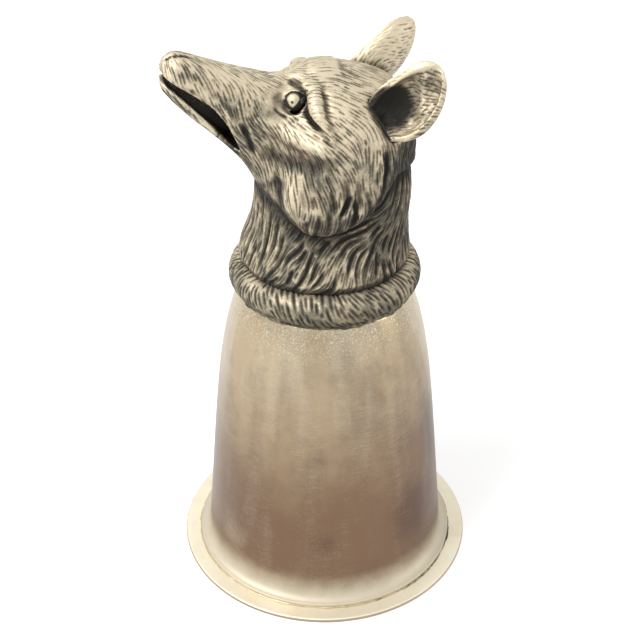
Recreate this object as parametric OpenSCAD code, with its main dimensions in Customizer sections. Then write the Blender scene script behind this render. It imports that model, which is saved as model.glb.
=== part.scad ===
// Stirrup cup: a spun cup that stands on its mouth, with a cast fox head on its closed end.
// Origin at the middle of the mouth's plane, +Z up, and the fox looks along -Y. Millimetres.

/* [Lip] */
// Outer diameter of the lip ring
rim_d = 76; // [70:0.5:84]
// Width of the flat band outside the bowl's flange
lip_band_w = 4.2; // [2:0.1:6]
// Thickness of the lip ring
lip_t = 1.2; // [0.8:0.1:2.5]
// Lap of the lip ring under the bowl's flange
lip_lap_w = 2.2; // [1:0.1:2.6]
// Leg of the solder fillet along the lip seam, as a share of the flange's thickness
lip_solder_share = 0.6; // [0.3:0.05:0.9]

/* [Bowl] */
// Height of the bowl's closed end above the table
bowl_h = 78.6; // [60:0.2:110]
// Wall of the bowl
bowl_wall = 1.1; // [0.8:0.1:2]
// Thickness of the flange at the mouth
flange_t = 1; // [0.6:0.1:2]
// Width of the flare from the wall out to the flange's edge
flare_w = 2.7; // [1.5:0.1:5]
// Height of the flare above the flange
flare_h = 3.8; // [2:0.1:10]
// Diameter of the bowl's flat closed end
bowl_end_d = 41.4; // [38:0.2:46]
// Drop in radius where the wall rounds over to the closed end
shoulder_drop = 4; // [1:0.1:7]

/* [Collar] */
// Diameter of the roll's section
roll_d = 8; // [6:0.1:10]
// Depth of the flat on which the roll is seated
roll_flat = 0.35; // [0.2:0.05:0.8]
// Overhang of the roll outside the bowl's closed end
collar_overhang = 2.5; // [1.8:0.1:3.2]
// Width of the roll from its outside to the bore that the neck's foot stands in
collar_seat_w = 5.5; // [4.6:0.1:6]
// Height of the solder fillet under the roll
collar_solder_h = 0.6; // [0.4:0.1:1.2]

/* [Neck] */
// Step from the roll's outside in to the neck at its front and back
neck_step_l = 2.6; // [2:0.1:3.4]
// Step from the roll's outside in to the neck at its sides
neck_step_w = 3.2; // [2.4:0.1:3.8]
// Height of the neck from the collar to its joint inside the head
neck_h = 28; // [24:0.5:34]
// Wall of the neck casting
neck_wall = 2.2; // [1.5:0.1:4]
// Thickness of the solder between the neck's rim and the head's ledge
head_solder_t = 0.4; // [0.2:0.05:0.8]

/* [Head] */
// Height of the head's middle above the neck's rim
head_rise = 4.6; // [3:0.1:7]
// Upward tilt of the head
head_tilt = 25; // [18:0.5:32]
// Length of the head from nape to nose
head_l = 60.7; // [56:0.1:68]
// Overhang of the ruff outside the neck's widest part on each side
ruff_overhang = 0.4; // [0:0.1:2.5]
// Depth of the head from crown to the ruff's edge
head_h = 36.7; // [35:0.2:40]
// Wall of the head casting
head_wall = 2.6; // [1.8:0.1:4]
// Thickness of the ledge inside the head that rests on the neck's rim
ledge_t = 2; // [1:0.1:3]

/* [Eyes and ears] */
// Diameter of an eye bead
eye_d = 4.6; // [3.6:0.1:6]
// Height by which an eye bead stands out of the head's skin
eye_proud = 0.3; // [0:0.1:1]
// Thickness of the ridge over an eye
brow_d = 4.2; // [3:0.1:6]
// Length of an ear from its lower rim to its tip
ear_l = 18.2; // [14:0.2:22]
// Width of an ear
ear_w = 13.8; // [10:0.2:17]
// Depth of an ear from its rim to its back
ear_depth = 5.6; // [4:0.1:8]
// Wall of an ear
ear_wall = 1.5; // [1:0.1:2.2]
// Length of the root that goes through the head's wall
ear_root_l = 5; // [3:0.1:7]

/* [Hidden] */
$fn = 96;

// Clearance between seated pieces
seat_gap = 0.05;

// Lip and bowl
rim_r = rim_d / 2;
flange_r = rim_r - lip_band_w;
flange_z = lip_t + flange_t;
foot_r = flange_r - flare_w;
foot_z = flange_z + flare_h;
bowl_end_r = bowl_end_d / 2;
wall_steps = 24;
flare_step = 15;
// The wall's rounding grows with this power of the height, so that it gathers near the closed end
shoulder_power = 6;

// Collar
roll_r = roll_d / 2;
roll_z = bowl_h + seat_gap + roll_r - roll_flat;
collar_r = bowl_end_r + collar_overhang;
roll_centre_r = collar_r - roll_r;
collar_bore_r = collar_r - collar_seat_w;

// Neck
neck_foot_r = collar_bore_r - seat_gap;
neck_foot_z = bowl_h + seat_gap;
neck_l = 2 * (collar_r - neck_step_l);
neck_w = 2 * (collar_r - neck_step_w);
neck_shoulder_z = roll_z + roll_r + seat_gap;
neck_top_z = neck_shoulder_z + neck_h;
neck_sides = 48;
neck_steps = 14;
// First step above the shoulder where the neck's inside follows its outside
neck_bore_step = 3;

// Head
ledge_z = neck_top_z + head_solder_t + 2 * seat_gap;
head_z = neck_top_z + head_rise;
head_w = neck_w + 2 * ruff_overhang;
head_sides = 48;
head_steps = 52;
eye_r = eye_d / 2;
// Angle and step to the neighbouring points that give the skin's direction
probe_angle = 2;
probe_step = 0.4;

// Neck sections: share of its height, offset of the middle to the front, half-length, half-width
neck_rows = [
    [0.00, 0.0, 19.8, 19.4],
    [0.06, 0.1, 20.6, 20.0],
    [0.20, -0.2, 19.9, 19.3],
    [0.38, -1.1, 18.8, 18.2],
    [0.56, -1.8, 18.5, 17.2],
    [0.74, -2.0, 18.3, 16.4],
    [0.88, -2.0, 17.7, 15.8],
    [1.00, -2.0, 15.8, 14.6],
];

// Head sections along its axis: place, top, widest level, bottom, half-width, fullness above and below
head_rows = [
    [-20.4, 3.7, 2.7, 1.7, 5.6, 2.0, 2.0],
    [-19.2, 6.2, 2.9, -0.2, 9.6, 2.0, 2.0],
    [-17.2, 10.4, 3.2, -3.0, 12.8, 2.1, 2.2],
    [-14.6, 13.8, 2.5, -6.0, 15.0, 2.1, 2.4],
    [-12.4, 15.3, 0.0, -9.5, 16.6, 2.1, 2.6],
    [-10.8, 15.9, -3.0, -13.0, 19.2, 2.1, 2.8],
    [-8.0, 16.3, -5.5, -17.0, 20.2, 2.2, 3.4],
    [-4.0, 16.2, -7.0, -19.8, 20.4, 2.2, 3.8],
    [0.0, 15.6, -7.5, -20.4, 19.9, 2.2, 3.8],
    [4.0, 14.8, -6.5, -19.4, 18.0, 2.2, 3.2],
    [8.0, 13.3, -5.0, -17.8, 14.6, 2.3, 2.8],
    [11.0, 10.9, -4.0, -16.2, 11.8, 2.4, 2.5],
    [13.0, 8.3, -3.5, -14.6, 10.2, 2.4, 2.4],
    [16.0, 7.5, -3.0, -12.6, 9.0, 2.4, 2.4],
    [19.0, 7.1, -3.0, -11.2, 8.2, 2.4, 2.4],
    [23.0, 6.6, -2.0, -9.6, 7.1, 2.4, 2.5],
    [28.0, 6.1, -1.2, -7.9, 6.0, 2.4, 2.6],
    [33.0, 5.7, 0.0, -6.0, 5.2, 2.4, 2.5],
    [36.5, 5.5, 0.8, -4.5, 4.7, 2.3, 2.4],
    [38.6, 5.0, 1.0, -3.2, 4.0, 2.3, 2.2],
    [39.8, 4.2, 1.4, -1.0, 2.8, 2.2, 2.0],
    [40.3, 3.2, 1.8, 0.6, 1.6, 2.0, 2.0],
];

// Side outline of the open mouth: upper lip from the front to the corner, then the lower lip back
mouth_line = [
    [43, 1.2], [39.2, 0.2], [33, -0.9], [27.2, -2.0], [22.8, -4.6], [19.5, -7.6], [17.6, -9.4],
    [20, -9.0], [24, -7.6], [28, -5.4], [33, -3.4], [38.5, -1.5], [43, -1.0],
];

// Ridge over an eye: place along the head, angle round its section, share of the ridge's thickness
brow_path = [
    [11.3, 79, 0.4], [10.2, 68, 0.65], [9.1, 57, 0.9], [8.3, 46, 1],
    [7.8, 38, 1], [5.7, 31, 0.8], [3.7, 27, 0.45],
];
// Cheekbone: the same, with the share of the cheek's thickness
cheek_path = [[18, 9, 0.5], [13, 12, 0.85], [8.4, 15, 1], [3.2, 18, 0.8]];
cheek_d = 9;
cheek_proud = 0.6;
// Hollow round an eye: its diameter, and its depth in the head's skin
orbit_d = 9;
orbit_depth = 1.3;
// The hollow inside the head ends behind the mouth's corner
cavity_rows = [-17, 11];
cavity_steps = 20;
// Where an eye and an ear sit: place along the head and angle round its section
eye_seat = [12.2, 45];
ear_seat = [-6.5, 48];
// Depth by which an ear's lower rim is sunk in the head's skin
ear_sink = 2.2;

// Ear sections: share of its length, then of its half-width, depth and hollow, and shift to its back edge
ear_rows = [
    [0.00, 0.62, 0.62, 0.05, 0.00],
    [0.10, 0.84, 0.85, 0.45, 0.04],
    [0.25, 0.98, 1.00, 0.95, 0.10],
    [0.40, 1.00, 1.00, 1.00, 0.14],
    [0.60, 0.92, 0.88, 1.00, 0.15],
    [0.78, 0.76, 0.70, 1.00, 0.11],
    [0.90, 0.56, 0.48, 0.90, 0.07],
    [0.97, 0.36, 0.32, 0.75, 0.05],
    [1.00, 0.20, 0.20, 0.60, 0.03],
];
// Root's share of the ear's lowest section, and the width and bulge of its front as shares of its own
ear_root_share = 0.5;
ear_root_front_w = 0.9;
ear_root_front = 0.5;
ear_arc_steps = 10;
// Least share of an ear's width that its hollow keeps near the tip, and the same for its depth
hollow_least_w = 0.45;
hollow_least_depth = 0.2;
ear_steps = 18;
// Directions in the head's frame: an ear's length, and the line across it from front to back edge
ear_up = [-0.32, 0.04, 0.95];
ear_across = [-0.66, 0.56, -0.48];

// Row of table t at or below place x, the slope of column c there, and its smooth value at x
function row_at(t, x) =
    let (below = [for (i = [0:len(t) - 1]) if (t[i][0] <= x) i])
    len(below) == 0 ? 0 : min(len(below) - 1, len(t) - 2);
function slope(t, i, c) =
    let (a = max(i - 1, 0), b = min(i + 1, len(t) - 1))
    (t[b][c] - t[a][c]) / (t[b][0] - t[a][0]);
function smooth_at(t, x, c) =
    let (i = row_at(t, x), d = t[i + 1][0] - t[i][0], u = (x - t[i][0]) / d, u2 = u * u, u3 = u2 * u)
    t[i][c] * (2 * u3 - 3 * u2 + 1) + slope(t, i, c) * d * (u3 - 2 * u2 + u)
    + t[i + 1][c] * (3 * u2 - 2 * u3) + slope(t, i + 1, c) * d * (u3 - u2);
function column(t, c) = [for (r = t) r[c]];
function unit(v) = v / norm(v);

// Faces that join rings of n points into a skin, which closes on itself or has flat ends
function skin_faces(rings, n, closed) = concat(
    [for (i = [0:rings - (closed ? 1 : 2)], j = [0:n - 1])
        let (k = (j + 1) % n, m = (i + 1) % rings)
        each [[i * n + j, m * n + k, i * n + k], [i * n + j, m * n + j, m * n + k]]],
    closed ? [] : cap_faces(0, n),
    closed ? [] : [for (f = cap_faces((rings - 1) * n, n)) reversed(f)]);
// Strip of faces across the ring that starts at a point, from its first half to its second half
function cap_faces(start, n) =
    [for (j = [0:n / 2 - 2])
        let (a = start + j, b = a + 1, c = start + n - 2 - j, d = c + 1)
        each [[a, b, c], [a, c, d]]];
function reversed(l) = [for (i = [len(l) - 1:-1:0]) l[i]];

module skin(rings, closed = false) {
    polyhedron(
        points = [for (r = rings) each r],
        faces = skin_faces(len(rings), len(rings[0]), closed),
        convexity = 8);
}

// Outer radius of the bowl's wall at height z above the flare
function bowl_r(z) =
    let (u = (z - foot_z) / (bowl_h - foot_z))
    foot_r - (foot_r - bowl_end_r - shoulder_drop) * u - shoulder_drop * pow(u, shoulder_power);

// Height of the roll's underside at radius r
function roll_under(r) = roll_z - sqrt(pow(roll_r, 2) - pow(r - roll_centre_r, 2));

// Oval ring of the neck at height z
function oval(offset, half_l, half_w, z) =
    [for (j = [0:neck_sides - 1]) let (a = 360 * j / neck_sides)
        [half_w * cos(a), half_l * sin(a) - offset, z]];
neck_long = neck_l / 2 / max(column(neck_rows, 2));
neck_wide = neck_w / 2 / max(column(neck_rows, 3));
function neck_oval(u, z, inset) = oval(
    smooth_at(neck_rows, u, 1),
    smooth_at(neck_rows, u, 2) * neck_long - inset,
    smooth_at(neck_rows, u, 3) * neck_wide - inset,
    z);
function neck_ring(u, inset) = neck_oval(u, neck_shoulder_z + u * neck_h, inset);

// Scale of the drawn head sections to the head's own sizes
head_scale = [
    head_l / (head_rows[len(head_rows) - 1][0] - head_rows[0][0]),
    head_w / 2 / max(column(head_rows, 4)),
    head_h / (max(column(head_rows, 1)) - min(column(head_rows, 3))),
];
function raised(v, fullness) = sign(v) * pow(abs(v), 2 / fullness);

// Point of the head's skin at section x and angle a, moved inwards by inset
function head_point(x, a, inset = 0) =
    let (mid = smooth_at(head_rows, x, 2) * head_scale.z,
         top = smooth_at(head_rows, x, 1) * head_scale.z - inset,
         low = smooth_at(head_rows, x, 3) * head_scale.z + inset,
         half_w = smooth_at(head_rows, x, 4) * head_scale.y - inset,
         fullness = smooth_at(head_rows, x, sin(a) > 0 ? 5 : 6),
         up = raised(sin(a), fullness))
    [x * head_scale.x, half_w * raised(cos(a), fullness), mid + up * (up > 0 ? top - mid : mid - low)];
function head_ring(x, inset) = [for (j = [0:head_sides - 1]) head_point(x, 360 * j / head_sides, inset)];

// Outward direction of the head's skin, from two neighbouring points on each side
function head_outward(x, a) =
    let (round = head_point(x, a + probe_angle) - head_point(x, a - probe_angle),
         along = head_point(x + probe_step, a) - head_point(x - probe_step, a))
    unit(cross(round, along));
function off_skin(x, a, out) = head_point(x, a) + out * head_outward(x, a);

module head_loft(from, to, steps, inset = 0) {
    skin([for (i = [0:steps]) head_ring(from + (to - from) * i / steps, inset)]);
}

// Head's own frame: x to the nose, y to the fox's left, z to the crown
module in_head_frame() {
    translate([0, 0, head_z])
        rotate([0, 0, -90])
            rotate([0, -head_tilt, 0])
                children();
}

// Copies of a shape on the fox's left and right
module both_sides() {
    children();
    mirror([0, 1, 0]) children();
}

// Rounded ridge along a path on the head's skin, with a crest that stands proud of it
module ridge(path, thickness, proud) {
    for (i = [0:len(path) - 2])
        hull()
            for (p = [path[i], path[i + 1]])
                translate(off_skin(p[0], p[1], proud * p[2] - thickness * p[2] / 2))
                    sphere(d = thickness * p[2], $fn = 18);
}

// Ear's own frame: x from its back edge to its front edge, y out of its hollow, z to its tip
ear_z = unit(ear_up);
ear_y = -unit(cross(ear_z, ear_across));
ear_x = cross(ear_y, ear_z);
module in_ear_frame() {
    base = head_point(ear_seat[0], ear_seat[1]) - ear_sink * ear_z;
    multmatrix([
        [ear_x.x, ear_y.x, ear_z.x, base.x],
        [ear_x.y, ear_y.y, ear_z.y, base.y],
        [ear_x.z, ear_y.z, ear_z.z, base.z],
        [0, 0, 0, 1],
    ]) children();
}

// Half ring of an ear: an arc from the back edge round the ear's back to the front edge, moved by shift
function ear_arc(half_w, depth, shift, z) =
    [for (i = [0:ear_arc_steps]) let (a = 180 * i / ear_arc_steps)
        [shift - half_w * cos(a), -depth * sin(a), z]];
function ear_section(u, grow, filled) =
    let (half_w = smooth_at(ear_rows, u, 1) * ear_w / 2,
         depth = smooth_at(ear_rows, u, 2) * ear_depth,
         hollow = filled ? 0 : smooth_at(ear_rows, u, 3),
         shift = -smooth_at(ear_rows, u, 4) * ear_w / 2,
         hollow_w = max(half_w - ear_wall, hollow_least_w * half_w),
         hollow_depth = filled ? -grow : max(depth - ear_wall, hollow_least_depth * depth) * hollow)
    concat(
        ear_arc(half_w + grow, depth + grow, shift, u * ear_l),
        reversed(ear_arc(hollow_w, hollow_depth, shift, u * ear_l)));
function ear_root(grow) =
    let (half_w = ear_rows[0][1] * ear_w / 2 * ear_root_share,
         depth = ear_rows[0][2] * ear_depth * ear_root_share,
         z = -ear_root_l - grow)
    concat(
        ear_arc(half_w + grow, depth + grow, 0, z),
        reversed(ear_arc(half_w * ear_root_front_w, -depth * ear_root_front - grow, 0, z)));

module ear(grow = 0, filled = false) {
    in_ear_frame()
        skin(concat([ear_root(grow)], [for (i = [0:ear_steps]) ear_section(i / ear_steps, grow, filled)]));
}

module eye_bead(grow = 0) {
    translate(off_skin(eye_seat[0], eye_seat[1], eye_proud - eye_r)) sphere(r = eye_r + grow, $fn = 32);
}

// Shallow hollow that an eye bead sits in
module orbit() {
    translate(off_skin(eye_seat[0], eye_seat[1], orbit_d / 2 - orbit_depth)) sphere(d = orbit_d, $fn = 32);
}

// Flat ring with a rounded edge, which the cup stands on
module lip_ring() color("wheat") {
    edge_r = lip_t / 2;
    inner_r = flange_r - lip_lap_w;
    rotate_extrude() {
        translate([inner_r, 0]) square([rim_r - edge_r - inner_r, lip_t]);
        intersection() {
            translate([rim_r - edge_r, edge_r]) circle(r = edge_r, $fn = 32);
            translate([rim_r - edge_r, 0]) square([edge_r, lip_t]);
        }
    }
}

// Fillet of solder in the corner between the flange's edge and the lip ring
module lip_solder() color("darkolivegreen") {
    leg = lip_solder_share * flange_t;
    rotate_extrude()
        translate([flange_r + seat_gap, lip_t + seat_gap])
            polygon([[0, 0], [leg, 0], [0, leg]]);
}

// Spun cup: flange, flare, tapered wall and closed end, all of one sheet
module bowl() color("tan") {
    flare = [for (a = [90:-flare_step:flare_step])
        [foot_r + flare_w * (1 - cos(a)), flange_z + flare_h * (1 - sin(a))]];
    wall = [for (i = [0:wall_steps]) let (z = foot_z + (bowl_h - foot_z) * i / wall_steps) [bowl_r(z), z]];
    outside = concat(flare, wall);
    inside = [for (p = outside) if (p.y > flange_z && p.y < bowl_h - bowl_wall) [p.x - bowl_wall, p.y]];
    end_in = bowl_h - bowl_wall;
    rotate_extrude() polygon(concat(
        [[flange_r, lip_t + seat_gap]],
        outside,
        [[0, bowl_h], [0, end_in], [bowl_r(end_in) - 2 * bowl_wall, end_in]],
        reversed(inside),
        [[foot_r - bowl_wall + flare_w / 2, lip_t + seat_gap]]));
}

// Fillet of solder between the bowl's shoulder and the roll
module collar_solder() color("darkolivegreen") {
    low_z = bowl_h - collar_solder_h;
    low_r = bowl_r(low_z) + seat_gap;
    high_r = low_r + seat_gap;
    rotate_extrude()
        polygon([[low_r, low_z], [high_r, roll_under(high_r) - seat_gap], [bowl_end_r + seat_gap, bowl_h]]);
}

// Roll of cast fur with a flat seat and a bore for the neck's foot
module collar_roll() color("dimgray") {
    rotate_extrude() intersection() {
        translate([roll_centre_r, roll_z]) circle(r = roll_r);
        translate([collar_bore_r, bowl_h + seat_gap]) square([roll_d, roll_d]);
    }
}

// Hollow neck: a round foot in the collar's bore, and an oval body that narrows upwards
module neck_casting() color("gray") {
    foot_in = neck_foot_r - neck_wall;
    skin(concat(
        [for (z = [neck_foot_z, neck_shoulder_z]) oval(0, neck_foot_r, neck_foot_r, z)],
        [for (i = [0:neck_steps]) neck_ring(i / neck_steps, 0)],
        [for (i = [neck_steps:-1:neck_bore_step]) neck_ring(i / neck_steps, neck_wall)],
        [for (z = [neck_shoulder_z + neck_wall, neck_foot_z]) oval(0, foot_in, foot_in, z)]), closed = true);
}

// Solder on the neck's rim
module head_solder() color("darkolivegreen") {
    low = neck_top_z + seat_gap;
    high = low + head_solder_t;
    skin(concat(
        [for (z = [low, high]) neck_oval(1, z, 0)],
        [for (z = [high, low]) neck_oval(1, z, neck_wall)]), closed = true);
}

// Hollow head: open mouth, brows, cheekbones, seats for eyes and ears, and a ledge for the neck's rim
module head_casting() color("silver") difference() {
    in_head_frame() {
        head_loft(head_rows[0][0], head_rows[len(head_rows) - 1][0], head_steps);
        both_sides() ridge(brow_path, brow_d, brow_d / 4);
        both_sides() ridge(cheek_path, cheek_d, cheek_proud);
    }
    in_head_frame() {
        scale(head_scale) rotate([90, 0, 0]) linear_extrude(head_w, center = true) polygon(mouth_line);
        both_sides() orbit();
        both_sides() eye_bead(seat_gap);
        both_sides() ear(seat_gap, filled = true);
    }
    intersection() {
        in_head_frame() head_loft(cavity_rows[0], cavity_rows[1], cavity_steps, head_wall);
        translate([-head_w, -head_l, ledge_z + ledge_t]) cube([2 * head_w, 2 * head_l, head_h]);
    }
    skin([for (z = [ledge_z - seat_gap, ledge_z + ledge_t + seat_gap])
        neck_oval(1, z, neck_wall + ledge_t)]);
    skin(concat(
        [for (i = [0:neck_steps]) neck_ring(i / neck_steps, -seat_gap)],
        [neck_oval(1, ledge_z, -seat_gap)]));
}

module left_eye() color("wheat") in_head_frame() eye_bead();
module right_eye() color("wheat") in_head_frame() mirror([0, 1, 0]) eye_bead();
module left_ear() color("gainsboro") in_head_frame() ear();
module right_ear() color("gainsboro") in_head_frame() mirror([0, 1, 0]) ear();

lip_ring();
lip_solder();
bowl();
collar_solder();
collar_roll();
neck_casting();
head_solder();
head_casting();
left_eye();
right_eye();
left_ear();
right_ear();
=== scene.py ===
"""Stirrup cup: a spun cup that stands on its mouth, with a cast fox head on its closed end."""

import logging
import math
from dataclasses import dataclass
from enum import Enum

import bmesh
import bpy
import numpy as np
from mathutils import Matrix, Vector, kdtree
from mathutils.bvhtree import BVHTree


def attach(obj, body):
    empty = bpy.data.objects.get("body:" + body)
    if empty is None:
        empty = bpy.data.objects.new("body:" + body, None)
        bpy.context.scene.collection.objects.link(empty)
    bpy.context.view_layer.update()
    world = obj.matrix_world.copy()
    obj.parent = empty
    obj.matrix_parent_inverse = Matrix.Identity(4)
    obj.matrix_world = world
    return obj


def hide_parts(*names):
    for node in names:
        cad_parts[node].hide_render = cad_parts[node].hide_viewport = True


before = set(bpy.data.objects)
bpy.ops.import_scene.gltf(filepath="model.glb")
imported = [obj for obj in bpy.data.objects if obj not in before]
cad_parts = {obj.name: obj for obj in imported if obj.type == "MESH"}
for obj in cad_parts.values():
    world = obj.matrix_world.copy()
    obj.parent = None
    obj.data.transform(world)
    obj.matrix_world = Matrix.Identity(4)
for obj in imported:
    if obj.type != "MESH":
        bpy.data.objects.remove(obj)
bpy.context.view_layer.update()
BODY = "root"
MM = 0.001
MERGE = 1e-6
LOG = logging.getLogger("stirrup_cup")

Triple = tuple[float, float, float]
Patch = tuple[Triple, float, float]

WHITE: Triple = (1.0, 1.0, 1.0)
RIM_R = 38.0
BOWL_H = 78.6
EYE_MIDDLE: Triple = (6.6, -8.0, 129.1)
# way that the painted shade is lit from: up and a little towards the key lamp
LIGHT_WAY: Triple = (0.05, -0.34, 0.94)
SMOOTH_STEPS = (0.55, -0.57)


class Cover(Enum):
    """Named attributes that the castings' finish reads."""

    GROOVE = "groove"
    HOLLOW = "hollow"
    # painted shade and stains: dark in recesses, under the ruff, round the eyes and ears and on faces turned
    # from the light, with real stains
    SHADE_AND_STAIN = "stain"


class Sock:
    """Socket of a shader graph that can be used in Python expressions."""

    def __init__(self, graph: "Graph", socket: bpy.types.NodeSocket | None) -> None:
        """Wrap a socket.

        Args:
            graph: graph that the socket belongs to.
            socket: output socket to wrap, or none behind an end node.
        """
        self.graph = graph
        self.socket = socket

    def maths(self, operation: str, first: object, second: object, clamp: bool = False) -> "Sock":
        """Add a Math node.

        Args:
            operation: the node's operation.
            first: first value or socket.
            second: second value or socket.
            clamp: keep the result between 0 and 1.

        Returns:
            The node's result.
        """
        settings = {"operation": operation, "use_clamp": clamp}
        return self.graph.node("ShaderNodeMath", settings, {0: first, 1: second})

    def __add__(self, other: object) -> "Sock":
        """Sum."""
        return self.maths("ADD", self, other)

    __radd__ = __add__

    def __sub__(self, other: object) -> "Sock":
        """Difference."""
        return self.maths("SUBTRACT", self, other)

    def __rsub__(self, other: object) -> "Sock":
        """Reflected difference."""
        return self.maths("SUBTRACT", other, self)

    def __mul__(self, other: object) -> "Sock":
        """Product."""
        return self.maths("MULTIPLY", self, other)

    __rmul__ = __mul__

    def __truediv__(self, other: object) -> "Sock":
        """Quotient."""
        return self.maths("DIVIDE", self, other)

    def swing(self, size: float) -> "Sock":
        """Noise swung about zero, by a size from its lowest to its highest value."""
        return (self - 0.5) * size

    def clamped(self) -> "Sock":
        """Value kept between 0 and 1."""
        return self.maths("ADD", self, 0.0, clamp=True)

    def most(self, other: object) -> "Sock":
        """Larger of two values."""
        return self.maths("MAXIMUM", self, other)

    def between(self, low: float, high: float) -> "Sock":
        """Share of the way from low to high, smoothed and kept between 0 and 1."""
        settings = {"interpolation_type": "SMOOTHSTEP"}
        return self.graph.node("ShaderNodeMapRange", settings, {0: self, 1: low, 2: high})


class Graph:
    """Node graph of one material or of the world."""

    def __init__(self, owner: bpy.types.Material | bpy.types.World) -> None:
        """Start an empty graph.

        Args:
            owner: material or world that the graph belongs to.
        """
        owner.use_nodes = True
        self.owner = owner
        self.tree = owner.node_tree
        self.tree.nodes.clear()

    @classmethod
    def of(cls, name: str) -> "Graph":
        """Empty graph of a new material."""
        return cls(bpy.data.materials.new(name))

    def node(
            self, kind: str, settings: dict | None = None, inputs: dict | None = None,
            out: str | int = 0) -> Sock:
        """Add a node, set it up and feed its sockets.

        Args:
            kind: the node's type.
            settings: values of the node's own properties, which are set first.
            inputs: values or sockets for its inputs, by name or number.
            out: name or number of the output to return.

        Returns:
            The chosen output, which is empty behind an end node.
        """
        made = self.tree.nodes.new(kind)
        for key, value in (settings or {}).items():
            setattr(made, key, value)
        for key, value in (inputs or {}).items():
            if isinstance(value, Sock):
                self.tree.links.new(value.socket, made.inputs[key])
            else:
                made.inputs[key].default_value = value
        return Sock(self, made.outputs[out] if len(made.outputs) else None)

    def place(self, scale: Triple = (1.0, 1.0, 1.0)) -> Sock:
        """Object coordinates in millimetres, stretched by a scale.

        Args:
            scale: factor along each axis.

        Returns:
            The coordinates.
        """
        seen = self.node("ShaderNodeTexCoord", out="Object")
        factor = tuple(value / MM for value in scale)
        return self.node("ShaderNodeVectorMath", {"operation": "MULTIPLY"}, {0: seen, 1: factor})

    def part(self, place: Sock, axis: str) -> Sock:
        """One coordinate of a place."""
        return self.node("ShaderNodeSeparateXYZ", None, {0: place}, out=axis)

    def noise(self, place: Sock, scale: float, detail: float, rough: float) -> Sock:
        """Noise value at a place, with about scale waves a millimetre."""
        inputs = {"Vector": place, "Scale": scale, "Detail": detail, "Roughness": rough}
        return self.node("ShaderNodeTexNoise", {"noise_dimensions": "3D"}, inputs)

    def attribute(self, cover: Cover) -> Sock:
        """Value of one of the castings' attributes."""
        return self.node("ShaderNodeAttribute", {"attribute_name": cover.value}, out="Fac")

    def seen(self) -> Sock:
        """Tell rays that show a thing from rays that light it.

        Returns:
            1 for rays from the camera, a reflection or a refraction, and 0 for others.
        """
        kinds = ("Camera", "Glossy", "Transmission")
        rays = [self.node("ShaderNodeLightPath", out=f"Is {kind} Ray") for kind in kinds]
        return (rays[0] + rays[1] + rays[2]).clamped()

    def mixed(self, share: object, first: object, second: object) -> Sock:
        """Mix of two colours.

        Args:
            share: share of the second colour.
            first: colour or socket at share 0.
            second: colour or socket at share 1.

        Returns:
            The mixed colour.
        """
        pair = [value if isinstance(value, Sock) else (*value, 1.0) for value in (first, second)]
        inputs = {0: share, 6: pair[0], 7: pair[1]}
        return self.node("ShaderNodeMix", {"data_type": "RGBA"}, inputs, out=2)

    def bump(self, height: Sock, strength: float, distance: float) -> Sock:
        """Normal bent by a height in millimetres."""
        inputs = {"Height": height, "Strength": strength, "Distance": distance * MM}
        return self.node("ShaderNodeBump", None, inputs)

    def finish(self, inputs: dict) -> bpy.types.Material:
        """Close the graph with a Principled shader.

        Args:
            inputs: the shader's values and sockets.

        Returns:
            The finished material.
        """
        return self.end(self.node("ShaderNodeBsdfPrincipled", None, inputs), "Material")

    def end(self, shader: Sock, kind: str) -> bpy.types.Material | bpy.types.World:
        """Send a shader to the surface of the material or world, and hand that over."""
        self.node(f"ShaderNodeOutput{kind}", None, {"Surface": shader})
        return self.owner


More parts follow.
